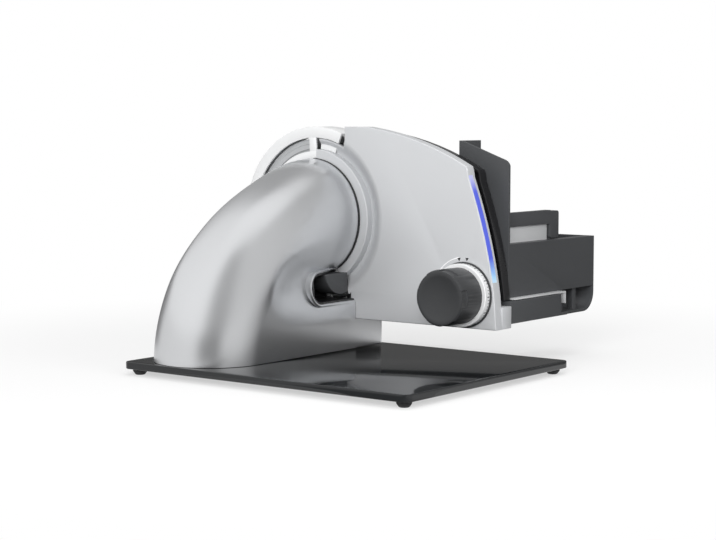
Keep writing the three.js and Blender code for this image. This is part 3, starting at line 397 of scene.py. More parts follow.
def finishes():
    """Every finish of the slicer, made once."""
    if FINISHES:
        return FINISHES
    tones = bpy.context.scene.slicer_colours
    knob = [c * KNOB_SHADE for c in tones.plastic]
    # Name, colour, metallic, roughness, grain, relief, its depth in mm, change of tone, change of roughness
    table = {
        "horn": ("horn_metal", tones.horn, 1.0, 0.29, (900, 900, 900), 0.05, 0.05, 0.05, 0.04),
        "paint": ("silver_paint", tones.paint, 0.42, 0.42, (1600, 1600, 1600), 0.10, 0.05, 0.04, 0.05),
        "bright": ("bright_silver", tones.bright, 0.25, 0.34, (1600, 1600, 1600), 0.06, 0.05, 0.03, 0.05),
        "glass": ("black_glass", tones.glass, 0.0, 0.07, (300, 300, 300), 0.01, 0.02, 0.2, 0.03, 6.0),
        "plastic": ("dark_plastic", tones.plastic, 0.0, 0.46, (1400, 1400, 1400), 0.25, 0.08, 0.10, 0.06),
        "knob": ("knob_plastic", knob, 0.0, 0.40, (1900, 1900, 1900), 0.18, 0.06, 0.08, 0.05),
        "trim": ("black_trim", tones.trim, 0.0, 0.28, (900, 900, 900), 0.06, 0.05, 0.12, 0.05),
        "steel": ("brushed_steel", tones.steel, 1.0, 0.27, (60, 2400, 2400), 0.10, 0.03, 0.06, 0.08),
        "blade": ("ground_steel", tones.steel, 1.0, 0.22, (1500, 300, 1500), 0.06, 0.02, 0.05, 0.06),
        "satin": ("satin_steel", (0.70, 0.71, 0.72), 0.45, 0.36, (200, 1800, 1800), 0.06, 0.03, 0.05, 0.06),
        # darker steel for the web behind the guard ring: painted shade on its part left of the top strut
        "painted_web_shade": ("painted_shade_steel", (0.46, 0.47, 0.48), 0.40, 0.40, (900, 900, 900), 0.06, 0.03, 0.06, 0.06),
        "rubber": ("foot_rubber", tones.rubber, 0.0, 0.75, (1200, 1200, 1200), 0.3, 0.1, 0.15, 0.08),
        "nylon": ("glide_nylon", tones.nylon, 0.0, 0.5, (800, 800, 800), 0.08, 0.05, 0.05, 0.05),
        "bronze": ("bearing_bronze", tones.bronze, 1.0, 0.4, (900, 900, 900), 0.15, 0.05, 0.10, 0.08),
        "print": ("pale_print", (0.86, 0.86, 0.87), 0.0, 0.55, (900, 900, 900), 0.03, 0.02, 0.03, 0.04),
    }
    for key, values in table.items():
        FINISHES[key] = grained(*values)
    low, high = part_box("led_strip")
    FINISHES["light"] = glowing("strip_light", tones.light, low.z, high.z)
    return FINISHES


# Outlines shared by several pieces
def bezier(points, count):
    """Points along a curve through two ends with one or two handles."""
    line = []
    for i in range(count + 1):
        t = i / count
        level = [Vector(p) for p in points]
        while len(level) > 1:
            level = [a.lerp(b, t) for a, b in zip(level, level[1:])]
        line.append(level[0])
    return line


def rounded(x0, x1, y0, y1, radius, steps=10):
    """Rectangle with round corners as (x, y) pairs, anticlockwise."""
    line = []
    for cx, cy, start in (
        (x1 - radius, y0 + radius, -90), (x1 - radius, y1 - radius, 0),
        (x0 + radius, y1 - radius, 90), (x0 + radius, y0 + radius, 180),
    ):
        for i in range(steps + 1):
            a = math.radians(start + 90 * i / steps)
            line.append((cx + radius * math.cos(a), cy + radius * math.sin(a)))
    return line


PLATE_LEFT = 42.0
PLATE_THICK = 11.85
ARC = 90.0
HEEL = (117.4, 76.0)
FOOT_END = 120.0
SHOULDER = (84.6, -38.0)


def right_edge(inset, steps=24):
    """The plate's crown and leaning right edge from the flat top down to the heel."""
    left = HUB_X + PLATE_LEFT + inset
    top = PLATE_TOP - inset
    right = HEEL[0] - inset
    shoulder = (SHOULDER[0] - inset * 0.5, PLATE_TOP + SHOULDER[1] - inset * 0.9)
    neck = (shoulder[0] + 2.4, shoulder[1] - 10.5)
    line = bezier(
        [(left + 28, top), ((left + 28 + shoulder[0]) / 2 + 8, top - 9.5), shoulder], steps
    )
    line += bezier([shoulder, (shoulder[0] + 1.5, shoulder[1] - 3), neck], 8)[1:]
    line += bezier([neck, ((neck[0] + right) / 2 + 7, (neck[1] + HEEL[1]) / 2), (right, HEEL[1])], steps)[1:]
    return line


def plate_outline(inset, arc, start):
    """The housing plate seen from the front, or the room behind it, as (x, z) pairs."""
    left = HUB_X + PLATE_LEFT + inset
    end = math.degrees(math.acos((left - HUB_X) / arc))
    line = [(left, PLATE_TOP - inset)]
    line += [tuple(p) for p in right_edge(inset)]
    line += [(FOOT_END - inset, PLATE_BOTTOM + inset), (left + 7, PLATE_BOTTOM + inset)]
    for i in range(41):
        a = math.radians(start + (end - start) * i / 40)
        line.append((HUB_X + arc * math.cos(a), HUB_Z + arc * math.sin(a)))
    return line


# Operators, one for each piece or group of like pieces
class SLICER_OT_base(bpy.types.Operator):
    """Black glass plate on four rubber feet"""

    bl_idname = "slicer.base"
    bl_label = "Glass base"

    def execute(self, context):
        sizes = context.scene.slicer_sizes
        corners = rounded(BASE_LOW.x, BASE_HIGH.x, BASE_LOW.y, BASE_HIGH.y, 8.0, 12)
        plate = ring([at(x, y, BASE_LOW.z) for x, y in corners])
        pull(plate, (0, 0, (BASE_HIGH.z - BASE_LOW.z) * MM))
        soften(plate, sizes.glass_edge / MM, 4)
        settle(plate, "glass_plate", "base", "glass_base", finishes()["glass"], "base_plate")
        for i in range(1, 5):
            low, high = (local(corner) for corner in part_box(f"foot_{i}"))
            x, y = (low.x + high.x) / 2, (low.y + high.y) / 2
            top = high.z
            section = [(0, 0), (4.0, 0), (4.8, 0.5), (6.6, top * 0.5), (7, top * 0.66), (7, top), (0, top)]
            foot = turn([at(x + r, y, z) for r, z in section], at(x, y, 0), (0, 0, 1), 40)
            soften(foot, 0.3, 2)
            settle(foot, f"rubber_foot_{i}", "base", "rubber", finishes()["rubber"], f"foot_{i}")
        return {"FINISHED"}


FOOT_R = 57.0
NECK_R = 61.0
REACH = (155.0, 146.5, 133.0, 126.5, 132.0)
PODIUM_RISE = 44.0


def reach_at(share):
    """Distance of the horn's centre line from the fan line, eased through the measured reaches."""
    last = len(REACH) - 1
    place = share * last
    i = min(int(place), last - 1)
    t = place - i
    p0, p1, p2, p3 = (REACH[max(0, min(last, j))] for j in (i - 1, i, i + 1, i + 2))
    v0, v1 = (p2 - p0) / 2, (p3 - p1) / 2
    return (2 * p1 - 2 * p2 + v0 + v1) * t**3 + (-3 * p1 + 3 * p2 - 2 * v0 - v1) * t**2 + v0 * t + p1


HOLLOW = 7.0
HORN_WALL = 2.2
PODIUM_FRONT = 27.0
PODIUM_BACK = 51.0
PODIUM_HEIGHT = 25.0
RISER_LOW = 36.0


def eased(t):
    t = max(0.0, min(1.0, t))
    return t * t * (3 - 2 * t)


def drawn_in(degrees, out):
    """How far the horn's side draws in at the inner bend, at a distance out from the fan line."""
    a = math.radians(max(1.0, min(88.0, degrees)))
    leg, neck = 98 / math.cos(a), 71 / math.sin(a) + 8
    line = 6 - 18 * math.log(math.exp(-leg / 18) + math.exp(-neck / 18))
    depth = HOLLOW * eased((degrees - 4) / 30) * (1 - eased((degrees - 42) / 44))
    away = (out - line) / 38 if out > line else (line - out) / 100
    return depth * (1 - eased(away)) * eased((out * math.sin(a) - 26) / 42)


def horn_half(degrees, hollow):
    """Half section of the horn as (half width, distance from the fan line)."""
    share = degrees / 90
    centre = reach_at(share)
    radius = FOOT_R + (NECK_R - FOOT_R) * share
    s = max(0.0, min(1.0, (degrees - 25) / 65))
    under = math.radians(-58) * s * s * (3 - 2 * s)
    low = Vector((FOOT_R, PODIUM_RISE))
    high = Vector((radius * math.cos(under), centre + radius * math.sin(under)))
    span = (high - low).length
    along = Vector((-math.sin(under), math.cos(under)))
    points = [Vector((FOOT_R, PODIUM_RISE * i / 4)) for i in range(4)]
    points += bezier([low, low + Vector((0, span * 0.35)), high - along * span * 0.45, high], 22)
    for i in range(1, 29):
        a = under + (math.pi / 2 - under) * i / 28
        points.append(Vector((radius * math.cos(a), centre + radius * math.sin(a))))
    if hollow:
        points = [Vector((p.x - drawn_in(degrees, p.y), p.y)) if p.x > HOLLOW else p for p in points]
    return points


def horn_row(degrees, hollow):
    """Whole section of the horn in place."""
    half = horn_half(degrees, hollow)
    full = half + [Vector((-p.x, p.y)) for p in reversed(half[:-1])]
    c, s = math.cos(math.radians(degrees)), math.sin(math.radians(degrees))
    return [at(HUB_X + p.x, NECK_Y - p.y * c, FLOOR_Z + p.y * s) for p in full]


def horn_skin(steps, hollow):
    """The horn's outer skin, closed at the neck and open at the floor."""
    rows = [horn_row(90 * i / steps, hollow) for i in range(steps + 1)]
    wide = len(rows[0])
    pick()
    bpy.ops.mesh.primitive_grid_add(x_subdivisions=wide - 1, y_subdivisions=steps, size=1)
    skin = bpy.context.object
    if len(skin.data.vertices) != wide * (steps + 1):
        raise RuntimeError("the horn's grid has another number of points than its sections")
    for j, row in enumerate(rows):
        for i, point in enumerate(row):
            skin.data.vertices[j * wide + i].co = point
    edit(skin)
    bpy.ops.mesh.remove_doubles(threshold=1e-6)
    choose(skin, "VERT", lambda v: v.co.y > at(0, NECK_Y, 0).y - 1e-6)
    bpy.ops.mesh.edge_face_add()
    bpy.ops.mesh.select_all(action="SELECT")
    bpy.ops.mesh.normals_make_consistent(inside=False)
    done()
    return skin


POCKET = (11.5, 110.0, 62.0, 93.0)
POCKET_RAMP = 0.61


def pocket_line(inset, steps=16):
    """Outline of the switch pocket seen from the side, as (y, z) pairs."""
    y0, y1, z0, z1 = POCKET
    return rounded(y0 + inset, y1, z0 + inset, z1 - inset, 15.0 - inset, steps)


class SLICER_OT_horn(bpy.types.Operator):
    """Smooth horn with its podium and the opening for the switch, and a black ring round its neck as painted shade of
    the gap there
    """

    bl_idname = "slicer.horn"
    bl_label = "Horn"

    def execute(self, context):
        horn = horn_skin(context.scene.slicer_sizes.horn_steps, True)
        modifier(horn, "SOLIDIFY", thickness=HORN_WALL * MM, offset=-1.0)
        wall = HUB_X + PLATE_LEFT + 6.4
        notch = block(at(wall, NECK_Y - 0.8, PLATE_BOTTOM - 0.6), at(wall + 40, NECK_Y + 1, POCKET[2] + 1))
        cut(horn, self.pocket(), crossing=True)
        cut(horn, notch, crossing=True)
        cut(horn, self.mouth(), crossing=True)
        smooth(horn, 40)
        corners = rounded(HUB_X - FOOT_R + 0.05, HUB_X + FOOT_R - 0.05, PODIUM_FRONT, NECK_Y + PODIUM_BACK, 10.0)
        podium = ring([at(x, y, FLOOR_Z) for x, y in corners])
        pull(podium, (0, 0, PODIUM_HEIGHT * MM))
        soften(podium, 0.8, 1)
        smooth(podium, 40)
        corners = rounded(HUB_X + 5, HUB_X + FOOT_R - 0.01, NECK_Y - 14.0, NECK_Y + PODIUM_BACK + 0.04, 10.0)
        riser = ring([at(x, y, RISER_LOW) for x, y in corners])
        pull(riser, (0, 0, (PLATE_BOTTOM - RISER_LOW - 0.1) * MM))
        smooth(riser, 40)
        horn = join([horn, podium, riser])
        settle(horn, "horn", "base", "cast_metal", finishes()["horn"], "horn_shell")
        # black ring at the neck: painted shade of the gap between neck and flange
        self.painted_gap_shade()
        return {"FINISHED"}

    def mouth(self):
        """Round opening at the neck's end for the blade shaft and its bearing."""
        pick()
        bpy.ops.mesh.primitive_cylinder_add(
            vertices=96, radius=(NECK_R - 3.5) * MM, depth=12 * MM,
            location=at(HUB_X, NECK_Y, HUB_Z), rotation=(math.pi / 2, 0, 0),
        )
        bpy.ops.object.transform_apply(location=True, rotation=True, scale=True)
        return bpy.context.object

    def pocket(self):
        """The room of the switch pocket, its front end sloping towards the floor."""
        low, far, near = HUB_X + 15, HUB_X + FOOT_R + 20, POCKET[0]
        room = ring([at(low, y, z) for y, z in pocket_line(0)])
        pull(room, (far - low) * MM * Vector((1, 0, 0)))
        wall = HUB_X + FOOT_R
        plan = [
            (far, near - (far - wall) * POCKET_RAMP), (far, POCKET[1] + 5), (low - 1, POCKET[1] + 5),
            (low - 1, near + (wall - low + 1) * POCKET_RAMP),
        ]
        slope = ring([at(x, y, POCKET[2] - 5) for x, y in plan])
        pull(slope, (0, 0, 50 * MM))
        return cut(room, slope, "INTERSECT")

    def painted_gap_shade(self):
        """Thin black ring between the neck and the flange round it: painted shade of the gap there, not a real seal."""
        section = ((60.4, 78.9), (61.7, 78.9), (61.7, 81.05), (60.4, 81.05))
        gap_shade = round_hub(section, -56, 72, 144.0)
        smooth(gap_shade)
        settle(gap_shade, "neck_gap_shade_ring", "base", "black_trim", finishes()["trim"])


class SLICER_OT_switch(bpy.types.Operator):
    """Metal lip round the switch pocket, and the round-edged switch button"""

    bl_idname = "slicer.switch"
    bl_label = "Switch"

    def execute(self, context):
        steps = context.scene.slicer_sizes.horn_steps
        skins = {"plain": horn_skin(steps, False), "hollow": horn_skin(steps, True)}
        context.view_layer.update()
        lip = context.scene.slicer_sizes.pocket_lip / MM
        bands = (
            (-lip, "hollow", -1.5), (-lip, "mid", 0.0), (-lip, "plain", -0.6), (-lip * 0.8, "plain", 0.25),
            (-lip * 0.45, "plain", 0.5), (-0.1, "plain", 0.25), (0.35, "plain", -0.7), (0.35, "plain", -5.0),
        )
        lines = []
        for inset, skin, proud in bands:
            line = []
            for y, z in self.open_line(inset):
                start = at(60, y, z)
                found = {}
                for key, body in skins.items():
                    hit, point, _, _ = body.ray_cast(start, Vector((-1, 0, 0)))
                    if not hit:
                        raise RuntimeError("the pocket's lip found no horn under it")
                    found[key] = point
                found["mid"] = (found["plain"] + found["hollow"]) / 2
                line.append(found[skin] + Vector((proud * MM, 0, 0)))
            lines.append(line)
        for body in skins.values():
            bpy.data.objects.remove(body)
        count = len(lines[0])
        pick()
        bpy.ops.mesh.primitive_grid_add(x_subdivisions=count - 1, y_subdivisions=len(lines) - 1, size=1)
        rim = bpy.context.object
        for j, line in enumerate(lines):
            for i, point in enumerate(line):
                rim.data.vertices[j * count + i].co = point
        modifier(rim, "SOLIDIFY", thickness=0.5 * MM, offset=0.0)
        edit(rim)
        bpy.ops.mesh.normals_make_consistent(inside=False)
        done()
        smooth(rim, 50)
        settle(rim, "pocket_cuff", "base", "cast_metal", finishes()["horn"])
        self.button()
        return {"FINISHED"}

    def open_line(self, inset):
        """The pocket's outline from the housing plate round its closed end and back."""
        line = pocket_line(inset)
        top = [p for p in line if p[1] > 77.5 and p[0] < NECK_Y - 2]
        low = [p for p in line if p[1] < 77.5 and p[0] < NECK_Y - 2]
        _, _, z0, z1 = POCKET
        upper = [(y, z1 - inset) for y in (79.3, 74, 69, 64, 59, 54, 49)]
        lower = [(y, z0 + inset) for y in (49, 54, 59, 64, 69, 74, 79.3)]
        return upper + top + low + lower

    def button(self):
        low, high = (local(corner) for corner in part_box("switch_button"))
        centre, radius = (70.0, 97.0), 28.5
        top, right = high.z, high.y
        start = math.pi + math.asin((centre[1] - top) / radius)
        end = 1.5 * math.pi + math.asin((right - centre[0]) / radius)
        edge = [(right, top)]
        for i in range(33):
            a = start + (end - start) * i / 32
            edge.append((centre[0] + radius * math.cos(a), centre[1] + radius * math.sin(a)))
        far = high.x
        key = ring([at(far - 22, y, z) for y, z in edge])
        pull(key, (22 * MM, 0, 0))
        choose(key, "EDGE", lambda e: all(key.data.vertices[v].co.x > at(far, 0, 0).x - 1e-5 for v in e.vertices))
        bpy.ops.mesh.bevel(offset=4.5 * MM, segments=6, profile=0.5, affect="EDGES", clamp_overlap=True)
        done()
        stem_y, stem_z = 66.0, 79.0
        section = ((far - 20, 0), (far - 20, 3.5), (low.x, 3.5), (low.x, 0))
        stem = turn([at(x, stem_y, stem_z + r) for x, r in section], at(0, stem_y, stem_z), (1, 0, 0), 24)
        key = join([key, stem])
        smooth(key)
        settle(key, "switch_key", "switch_button_unit", "black_trim", finishes()["plastic"], "switch_button")


class SLICER_OT_guard(bpy.types.Operator):
    """Open ring round the back of the blade on struts from a collar, and the webs behind it, darker left of the top
    strut as painted shade and bright at their end as painted light
    """

    bl_idname = "slicer.guard"
    bl_label = "Guard ring"

    def execute(self, context):
        section = ((82.5, 84), (94, 84), (94, 111), (86.5, 111), (86.5, 108), (91, 108), (91, 87), (82.5, 87))
        band = round_hub(section, 68, 90, 217.0)
        collar = round_hub(((60.6, 84), (68.6, 84), (68.6, 87), (60.6, 87)), 88, 90, 211.0)
        parts = [band, collar]
        for angle in (92, 165, 238):
            a = math.radians(angle)
            along = Vector((math.cos(a), 0, math.sin(a)))
            across = Vector((-math.sin(a), 0, math.cos(a)))
            hub = Vector((HUB_X, 0, HUB_Z))
            flat = [(62.6, -4.5), (84.5, -4.5), (84.5, 4.5), (62.6, 4.5)]
            corners = [hub + along * r + across * w for r, w in flat]
            parts.append(pull(ring([at(p.x, 84.2, p.z) for p in corners]), (0, 2.6 * MM, 0)))
        guard = join(parts)
        soften(guard, 0.6, 2)
        settle(guard, "blade_guard", "base", "bright_casting", finishes()["bright"], "guard_ring")
        steps = ((67.0, 89.2), (70.5, 88.6), (71.2, 87.6), (76.0, 87.6), (76.7, 88.6), (81.6, 89.0))
        section = steps + tuple((r, y + 1.2) for r, y in reversed(steps))
        # One web in two finishes: the long part the darker steel as painted shade, the short end right of the top strut
        # the bright casting finish as painted light
        for name, start, sweep, finish in (("guard_web", 91, 189, "painted_web_shade"), ("guard_web_end", 70, 15.5, "bright")):
            web = round_hub(section, start, 80, sweep)
            smooth(web, 30)
            settle(web, name, "base", "steel", finishes()[finish])
        return {"FINISHED"}


class SLICER_OT_housing(bpy.types.Operator):
    """Housing plate with its crowned top, round dish, hub and foot beam"""

    bl_idname = "slicer.housing"
    bl_label = "Housing plate"

    def execute(self, context):
        edge = context.scene.slicer_sizes.casting_edge
        front = NECK_Y
        plate = ring([at(x, front, z) for x, z in plate_outline(0, ARC, -56)])
        pull(plate, (0, PLATE_THICK * MM, 0))
        room = ring([at(x, front + 4, z) for x, z in plate_outline(4, ARC - 2, -50)])
        cut(plate, pull(room, (0, 12 * MM, 0)))
        hole = block(at(KNOB_X - 7.6, front - 1, KNOB_Z - 7.6), at(KNOB_X + 7.6, front + 9, KNOB_Z + 7.6))
        cut(plate, hole)
        hub = Vector((ROOT.x + HUB_X * MM, 0, HUB_Z * MM))
        line = at(0, front, 0).y + 1e-6
        vertices = plate.data.vertices

        def outer_front(e):
            ends = [vertices[v].co for v in e.vertices]
            far = max((Vector((p.x, 0, p.z)) - hub).length for p in ends)
            return all(p.y < line for p in ends) and far > (ARC + 0.5) * MM

        choose(plate, "EDGE", outer_front)
        bpy.ops.mesh.bevel(offset=edge, segments=4, profile=0.5, affect="EDGES", clamp_overlap=True)
        done()
        smooth(plate, 30)
        parts = [plate, self.dish(front), self.beam(front), self.hub(front), self.boss(front)]
        body = join(parts)
        settle(body, "housing_plate", "base", "silver_casting", finishes()["paint"], "housing")
        return {"FINISHED"}

    def dish(self, front):
        """Shallow round dish between the flange round the neck and the plate."""
        slope = []
        for i in range(13):
            t = i / 12
            slope.append((70.8 + (90.0 - 70.8) * t, front + 9.8 * 0.5 * (1 + math.cos(math.pi * t))))
        whole = [(52, front + 1), (70.2, front + 1), (70.8, front + 1.6)] + slope
        whole += [(90.6, front + 0.6), (90.6, front + 4), (85, front + 4), (78.8, front + 13), (52, front + 13)]
        turnover = math.degrees(math.acos(PLATE_LEFT / 89))
        wide = round_hub(whole, -58, 72, 58 + turnover)
        kept = [p for p in slope if p[0] < 81.9]
        short = [(52, front + 1), (70.2, front + 1), (70.8, front + 1.6)] + kept
        short += [(81.9, kept[-1][1] - 0.1), (81.9, front + 8.5), (78.8, front + 13), (52, front + 13)]
        over = round_hub(short, turnover, 16, 86 - turnover)
        return smooth(join([wide, over]), 40)

    def beam(self, front):
        """Box beam along the plate's foot, open at its back."""
        beam = block(at(-57, front + 11.5, PLATE_BOTTOM), at(FOOT_END, front + 28, PLATE_BOTTOM + 21.5))
        choose(beam, "FACE", lambda f: f.normal.y > 0.9)
        bpy.ops.mesh.inset(thickness=4 * MM, depth=0.0)
        bpy.ops.mesh.extrude_region_move(TRANSFORM_OT_translate={"value": (0, -14 * MM, 0)})
        done()
        return soften(beam, 0.6, 2)

    def hub(self, front):
        """Disc behind the neck with the boss of the front bearing."""
        low = front + 0.3
        section = ((10.3, low), (60, low), (60, low + 6), (16, low + 6), (16, low + 20), (10.3, low + 20))
        return smooth(round_hub(section, 0, 64))

    def boss(self, front):
        """Tube behind the plate that guides the square post."""
        section = ((10.8, front + 3.5), (15, front + 3.5), (15, front + 11), (10.8, front + 11))
        return smooth(round_knob(section, 0, 40))


class SLICER_OT_light(bpy.types.Operator):
    """Light strip along the housing plate's right rim"""

    bl_idname = "slicer.light"
    bl_label = "Light strip"

    def execute(self, context):
        low, high = (local(corner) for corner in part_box("led_strip"))
        outer = [p for p in right_edge(-0.25, 60) if low.z <= p[1] <= high.z and p[0] > 70]
        inner = [p for p in right_edge(1.2, 60) if low.z <= p[1] <= high.z and p[0] > 70]
        strip = ring([at(x, low.y, z) for x, z in outer + inner[::-1]])
        pull(strip, (0, (high.y - low.y) * MM, 0))
        soften(strip, 0.15, 2, 50)
        settle(strip, "light_line", "base", "light_strip", finishes()["light"], "led_strip")
        return {"FINISHED"}


class SLICER_OT_knob(bpy.types.Operator):
    """Grip with finger notches, scale ring with ticks"""

    bl_idname = "slicer.knob"
    bl_label = "Knob and scale"

    def execute(self, context):
        low, high = (local(corner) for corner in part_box("knob"))
        near, far = low.y, high.y
        grip_far = far - 9.4
        front_round = [
            (27.5 - 2.6 * (1 - math.cos(a)), near + 2.6 * (1 - math.sin(a)))
            for a in [math.radians(90 - 15 * i) for i in range(7)]
        ]
        section = [(0, near + 0.5), (20.5, near + 0.5), (21.5, near)]
        section += front_round
        section += [(27.5, grip_far - 0.4), (27.1, grip_far), (26, grip_far), (26, far - 1.4)]
        section += [(32.0, far - 1.4), (32.4, far - 1.0), (32.4, far), (10.5, far), (10.5, near + 3), (0, near + 3)]
        grip = round_knob(section, 0, 120)
        notch = ((26.2, near - 1), (31, near - 1), (31, near + 9), (27.0, near + 9), (26.2, near + 8.2))
        for i in range(5):
            cut(grip, round_knob(notch, 72 * i - 19, 16, 38.0))
        soften(grip, 0.5, 3, 35)
        settle(grip, "knob_grip", "knob_unit", "dark_plastic", finishes()["knob"], "knob")
        low, high = (local(corner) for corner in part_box("scale_ring"))
        ring_section = ((26.3, low.y), (30.4, low.y), (31, low.y + 0.6), (31, high.y), (26.3, high.y))
        scale = round_knob(ring_section, 0, 120)
        smooth(scale, 30)
        settle(scale, "scale_band", "knob_unit", "silver_casting", finishes()["bright"], "scale_ring")
        self.ticks(context, low.y, high.y)
        return {"FINISHED"}

    def ticks(self, context, near, far):
        sizes = context.scene.slicer_sizes
        marks = []
        for i in range(sizes.tick_count):
            long = i % 5 == 0
            size = sizes.tick_length / MM * (1.0 if long else 0.55)
            wide = 0.9 if long else 0.6
            a = 360 * i / sizes.tick_count
            half = math.degrees(wide / 2 / 31)
            corners = [
                about_knob(31.08, a - half, far - 0.6), about_knob(31.08, a + half, far - 0.6),
                about_knob(31.08, a + half, far - 0.6 - size), about_knob(31.08, a - half, far - 0.6 - size),
            ]
            outward = Vector((math.cos(math.radians(a)), 0, math.sin(math.radians(a))))
            marks.append(pull(ring(corners), outward * -0.2 * MM))
        scale = join(marks)
        settle(scale, "scale_ticks", "knob_unit", "dark_plastic", finishes()["trim"])


class SLICER_OT_marks(bpy.types.Operator):
    """Printed index marks and a pale arc on the housing plate above the knob"""

    bl_idname = "slicer.marks"
    bl_label = "Index marks"

    def execute(self, context):
        y = NECK_Y - 0.02
        marks = []
        for angle in (100.0, 85.0):
            tip = about_knob(33.2, angle, y)
            left = about_knob(36.4, angle + 3.2, y)
            right = about_knob(36.4, angle - 3.2, y)
            marks.append(pull(ring([tip, right, left]), (0, -0.06 * MM, 0)))
        index = join(marks)
        settle(index, "index_marks", "base", "dark_plastic", finishes()["trim"])
        section = ((36.2, y), (37.0, y), (37.0, y - 0.05), (36.2, y - 0.05))
        arc = round_knob(section, 100, 48, 90.0)
        settle(arc, "index_arc", "base", "silver_casting", finishes()["print"])
        return {"FINISHED"}


class SLICER_OT_blade(bpy.types.Operator):
    """Round blade with its ground edge, and its cover"""

    bl_idname = "slicer.blade"
    bl_label = "Blade"

    def execute(self, context):
        far = CUT_Y
        dish_far = far - 5.5
        dish_near = dish_far - 2.2
        section = [
            (0, dish_near), (57, dish_near), (58.5, dish_near + 0.3), (65, far - 2.2), (78, far - 2.2), (85, far - 0.3),
            (85, far), (66, far), (64, far - 0.4), (58.5, dish_far + 0.3), (57, dish_far), (0, dish_far),
        ]
        blade = round_hub(section, 0, 144)
        smooth(blade, 12)
        settle(blade, "round_blade", "blade_unit", "steel", finishes()["blade"], "blade")
        low, high = (local(corner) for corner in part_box("blade_cap"))
        section = [
            (0, high.y), (30, high.y), (30.5, high.y - 0.4), (33.5, high.y - 0.4), (34, high.y), (50.5, high.y),
            (51.6, high.y - 0.6), (52, high.y - 1.8), (52, low.y), (49.5, low.y),
            (49.5, high.y - 1.6), (0, high.y - 1.6),
        ]
        cap = round_hub(section, 0, 120)
        smooth(cap, 20)
        settle(cap, "blade_cover", "blade_unit", "steel", finishes()["steel"], "blade_cap")
        return {"FINISHED"}


# Solids whose shape is right and only want rounded edges: piece name, solid, body, slot, finish, rounding
ROUNDED = {
    "stop": (("stop_face", "stop_plate", "stop_unit", "dark_plastic", "trim", "plastic_edge"),),
    "rails": (
        ("rail_channel", "rail_bed", "base", "dark_plastic", "plastic", "plastic_edge"),
        ("rail_cap", "rail_end_cap", "base", "dark_plastic", "plastic", "plastic_edge"),
        ("rail_rest", "rail_stop", "base", "dark_plastic", "plastic", "plastic_edge"),
        ("gland", "cord_gland", "base", "black_trim", "trim", "sheet_edge"),
    ),
    "carriage": (
        ("carriage_moulding", "carriage_body", "carriage", "dark_plastic", "plastic", "plastic_edge"),
        ("steel_tray", "carriage_tray", "carriage", "steel", "satin", "sheet_edge"),
        ("steel_wall", "wall_plate", "carriage", "steel", "satin", "sheet_edge"),
        ("glide_near", "glide_1", "carriage", "nylon", "nylon", "sheet_edge"),
        ("glide_far", "glide_2", "carriage", "nylon", "nylon", "sheet_edge"),
    ),
    "pusher": (
        ("pusher_bar", "pusher_arm", "pusher", "dark_plastic", "plastic", "plastic_edge"),
        ("pusher_face", "pusher_plate", "pusher", "dark_plastic", "plastic", "plastic_edge"),
    ),
}


def round_off(context, group):
    """Copies each solid of a group and rounds its edges."""
    sizes = context.scene.slicer_sizes
    for name, node, body, slot, finish, edge in ROUNDED[group]:
        piece = copy_of(node)
        soften(piece, getattr(sizes, edge) / MM, 3)
        settle(piece, name, body, slot, finishes()[finish], node)


class SLICER_OT_stop(bpy.types.Operator):
    """Thickness plate with rounded edges"""

    bl_idname = "slicer.stop"
    bl_label = "Thickness plate"

    def execute(self, context):
        round_off(context, "stop")
        return {"FINISHED"}


class SLICER_OT_rails(bpy.types.Operator):
    """Rail bed with its end pieces, and the cord gland"""

    bl_idname = "slicer.rails"
    bl_label = "Rails"

    def execute(self, context):
        round_off(context, "rails")
        return {"FINISHED"}


class SLICER_OT_carriage(bpy.types.Operator):
    """Carriage moulding, steel tray and wall, glides"""

    bl_idname = "slicer.carriage"
    bl_label = "Carriage"

    def execute(self, context):
        round_off(context, "carriage")
        return {"FINISHED"}


class SLICER_OT_pusher(bpy.types.Operator):
    """Pusher arm and plate"""

    bl_idname = "slicer.pusher"
    bl_label = "Pusher"

    def execute(self, context):
        round_off(context, "pusher")
        return {"FINISHED"}


INNER = {
    "steel": ("base_screw_1", "base_screw_2", "base_screw_3", "blade_shaft", "blade_screw_1", "blade_screw_2",
              "blade_screw_3", "stop_screw", "motor_can", "motor_rotor", "drive_worm"),
    "paint": ("gear_frame", "blade_carrier", "stop_post"),
    "bronze": ("rear_bearing", "front_bearing"),
    "nylon": ("drive_gear",),
    "plastic": ("bottom_cover", "motor_end_cap", "motor_fan", "switch_body"),
    "trim": ("switch_pocket",),
}


class SLICER_OT_works(bpy.types.Operator):
    """Finishes for the solids that stay as they are"""

    bl_idname = "slicer.works"
    bl_label = "Inner works"

    def execute(self, context):
        for finish, names in INNER.items():
            for name in names:
                slots = NODES[name].data.materials
                slots.clear()
                slots.append(finishes()[finish])
        return {"FINISHED"}


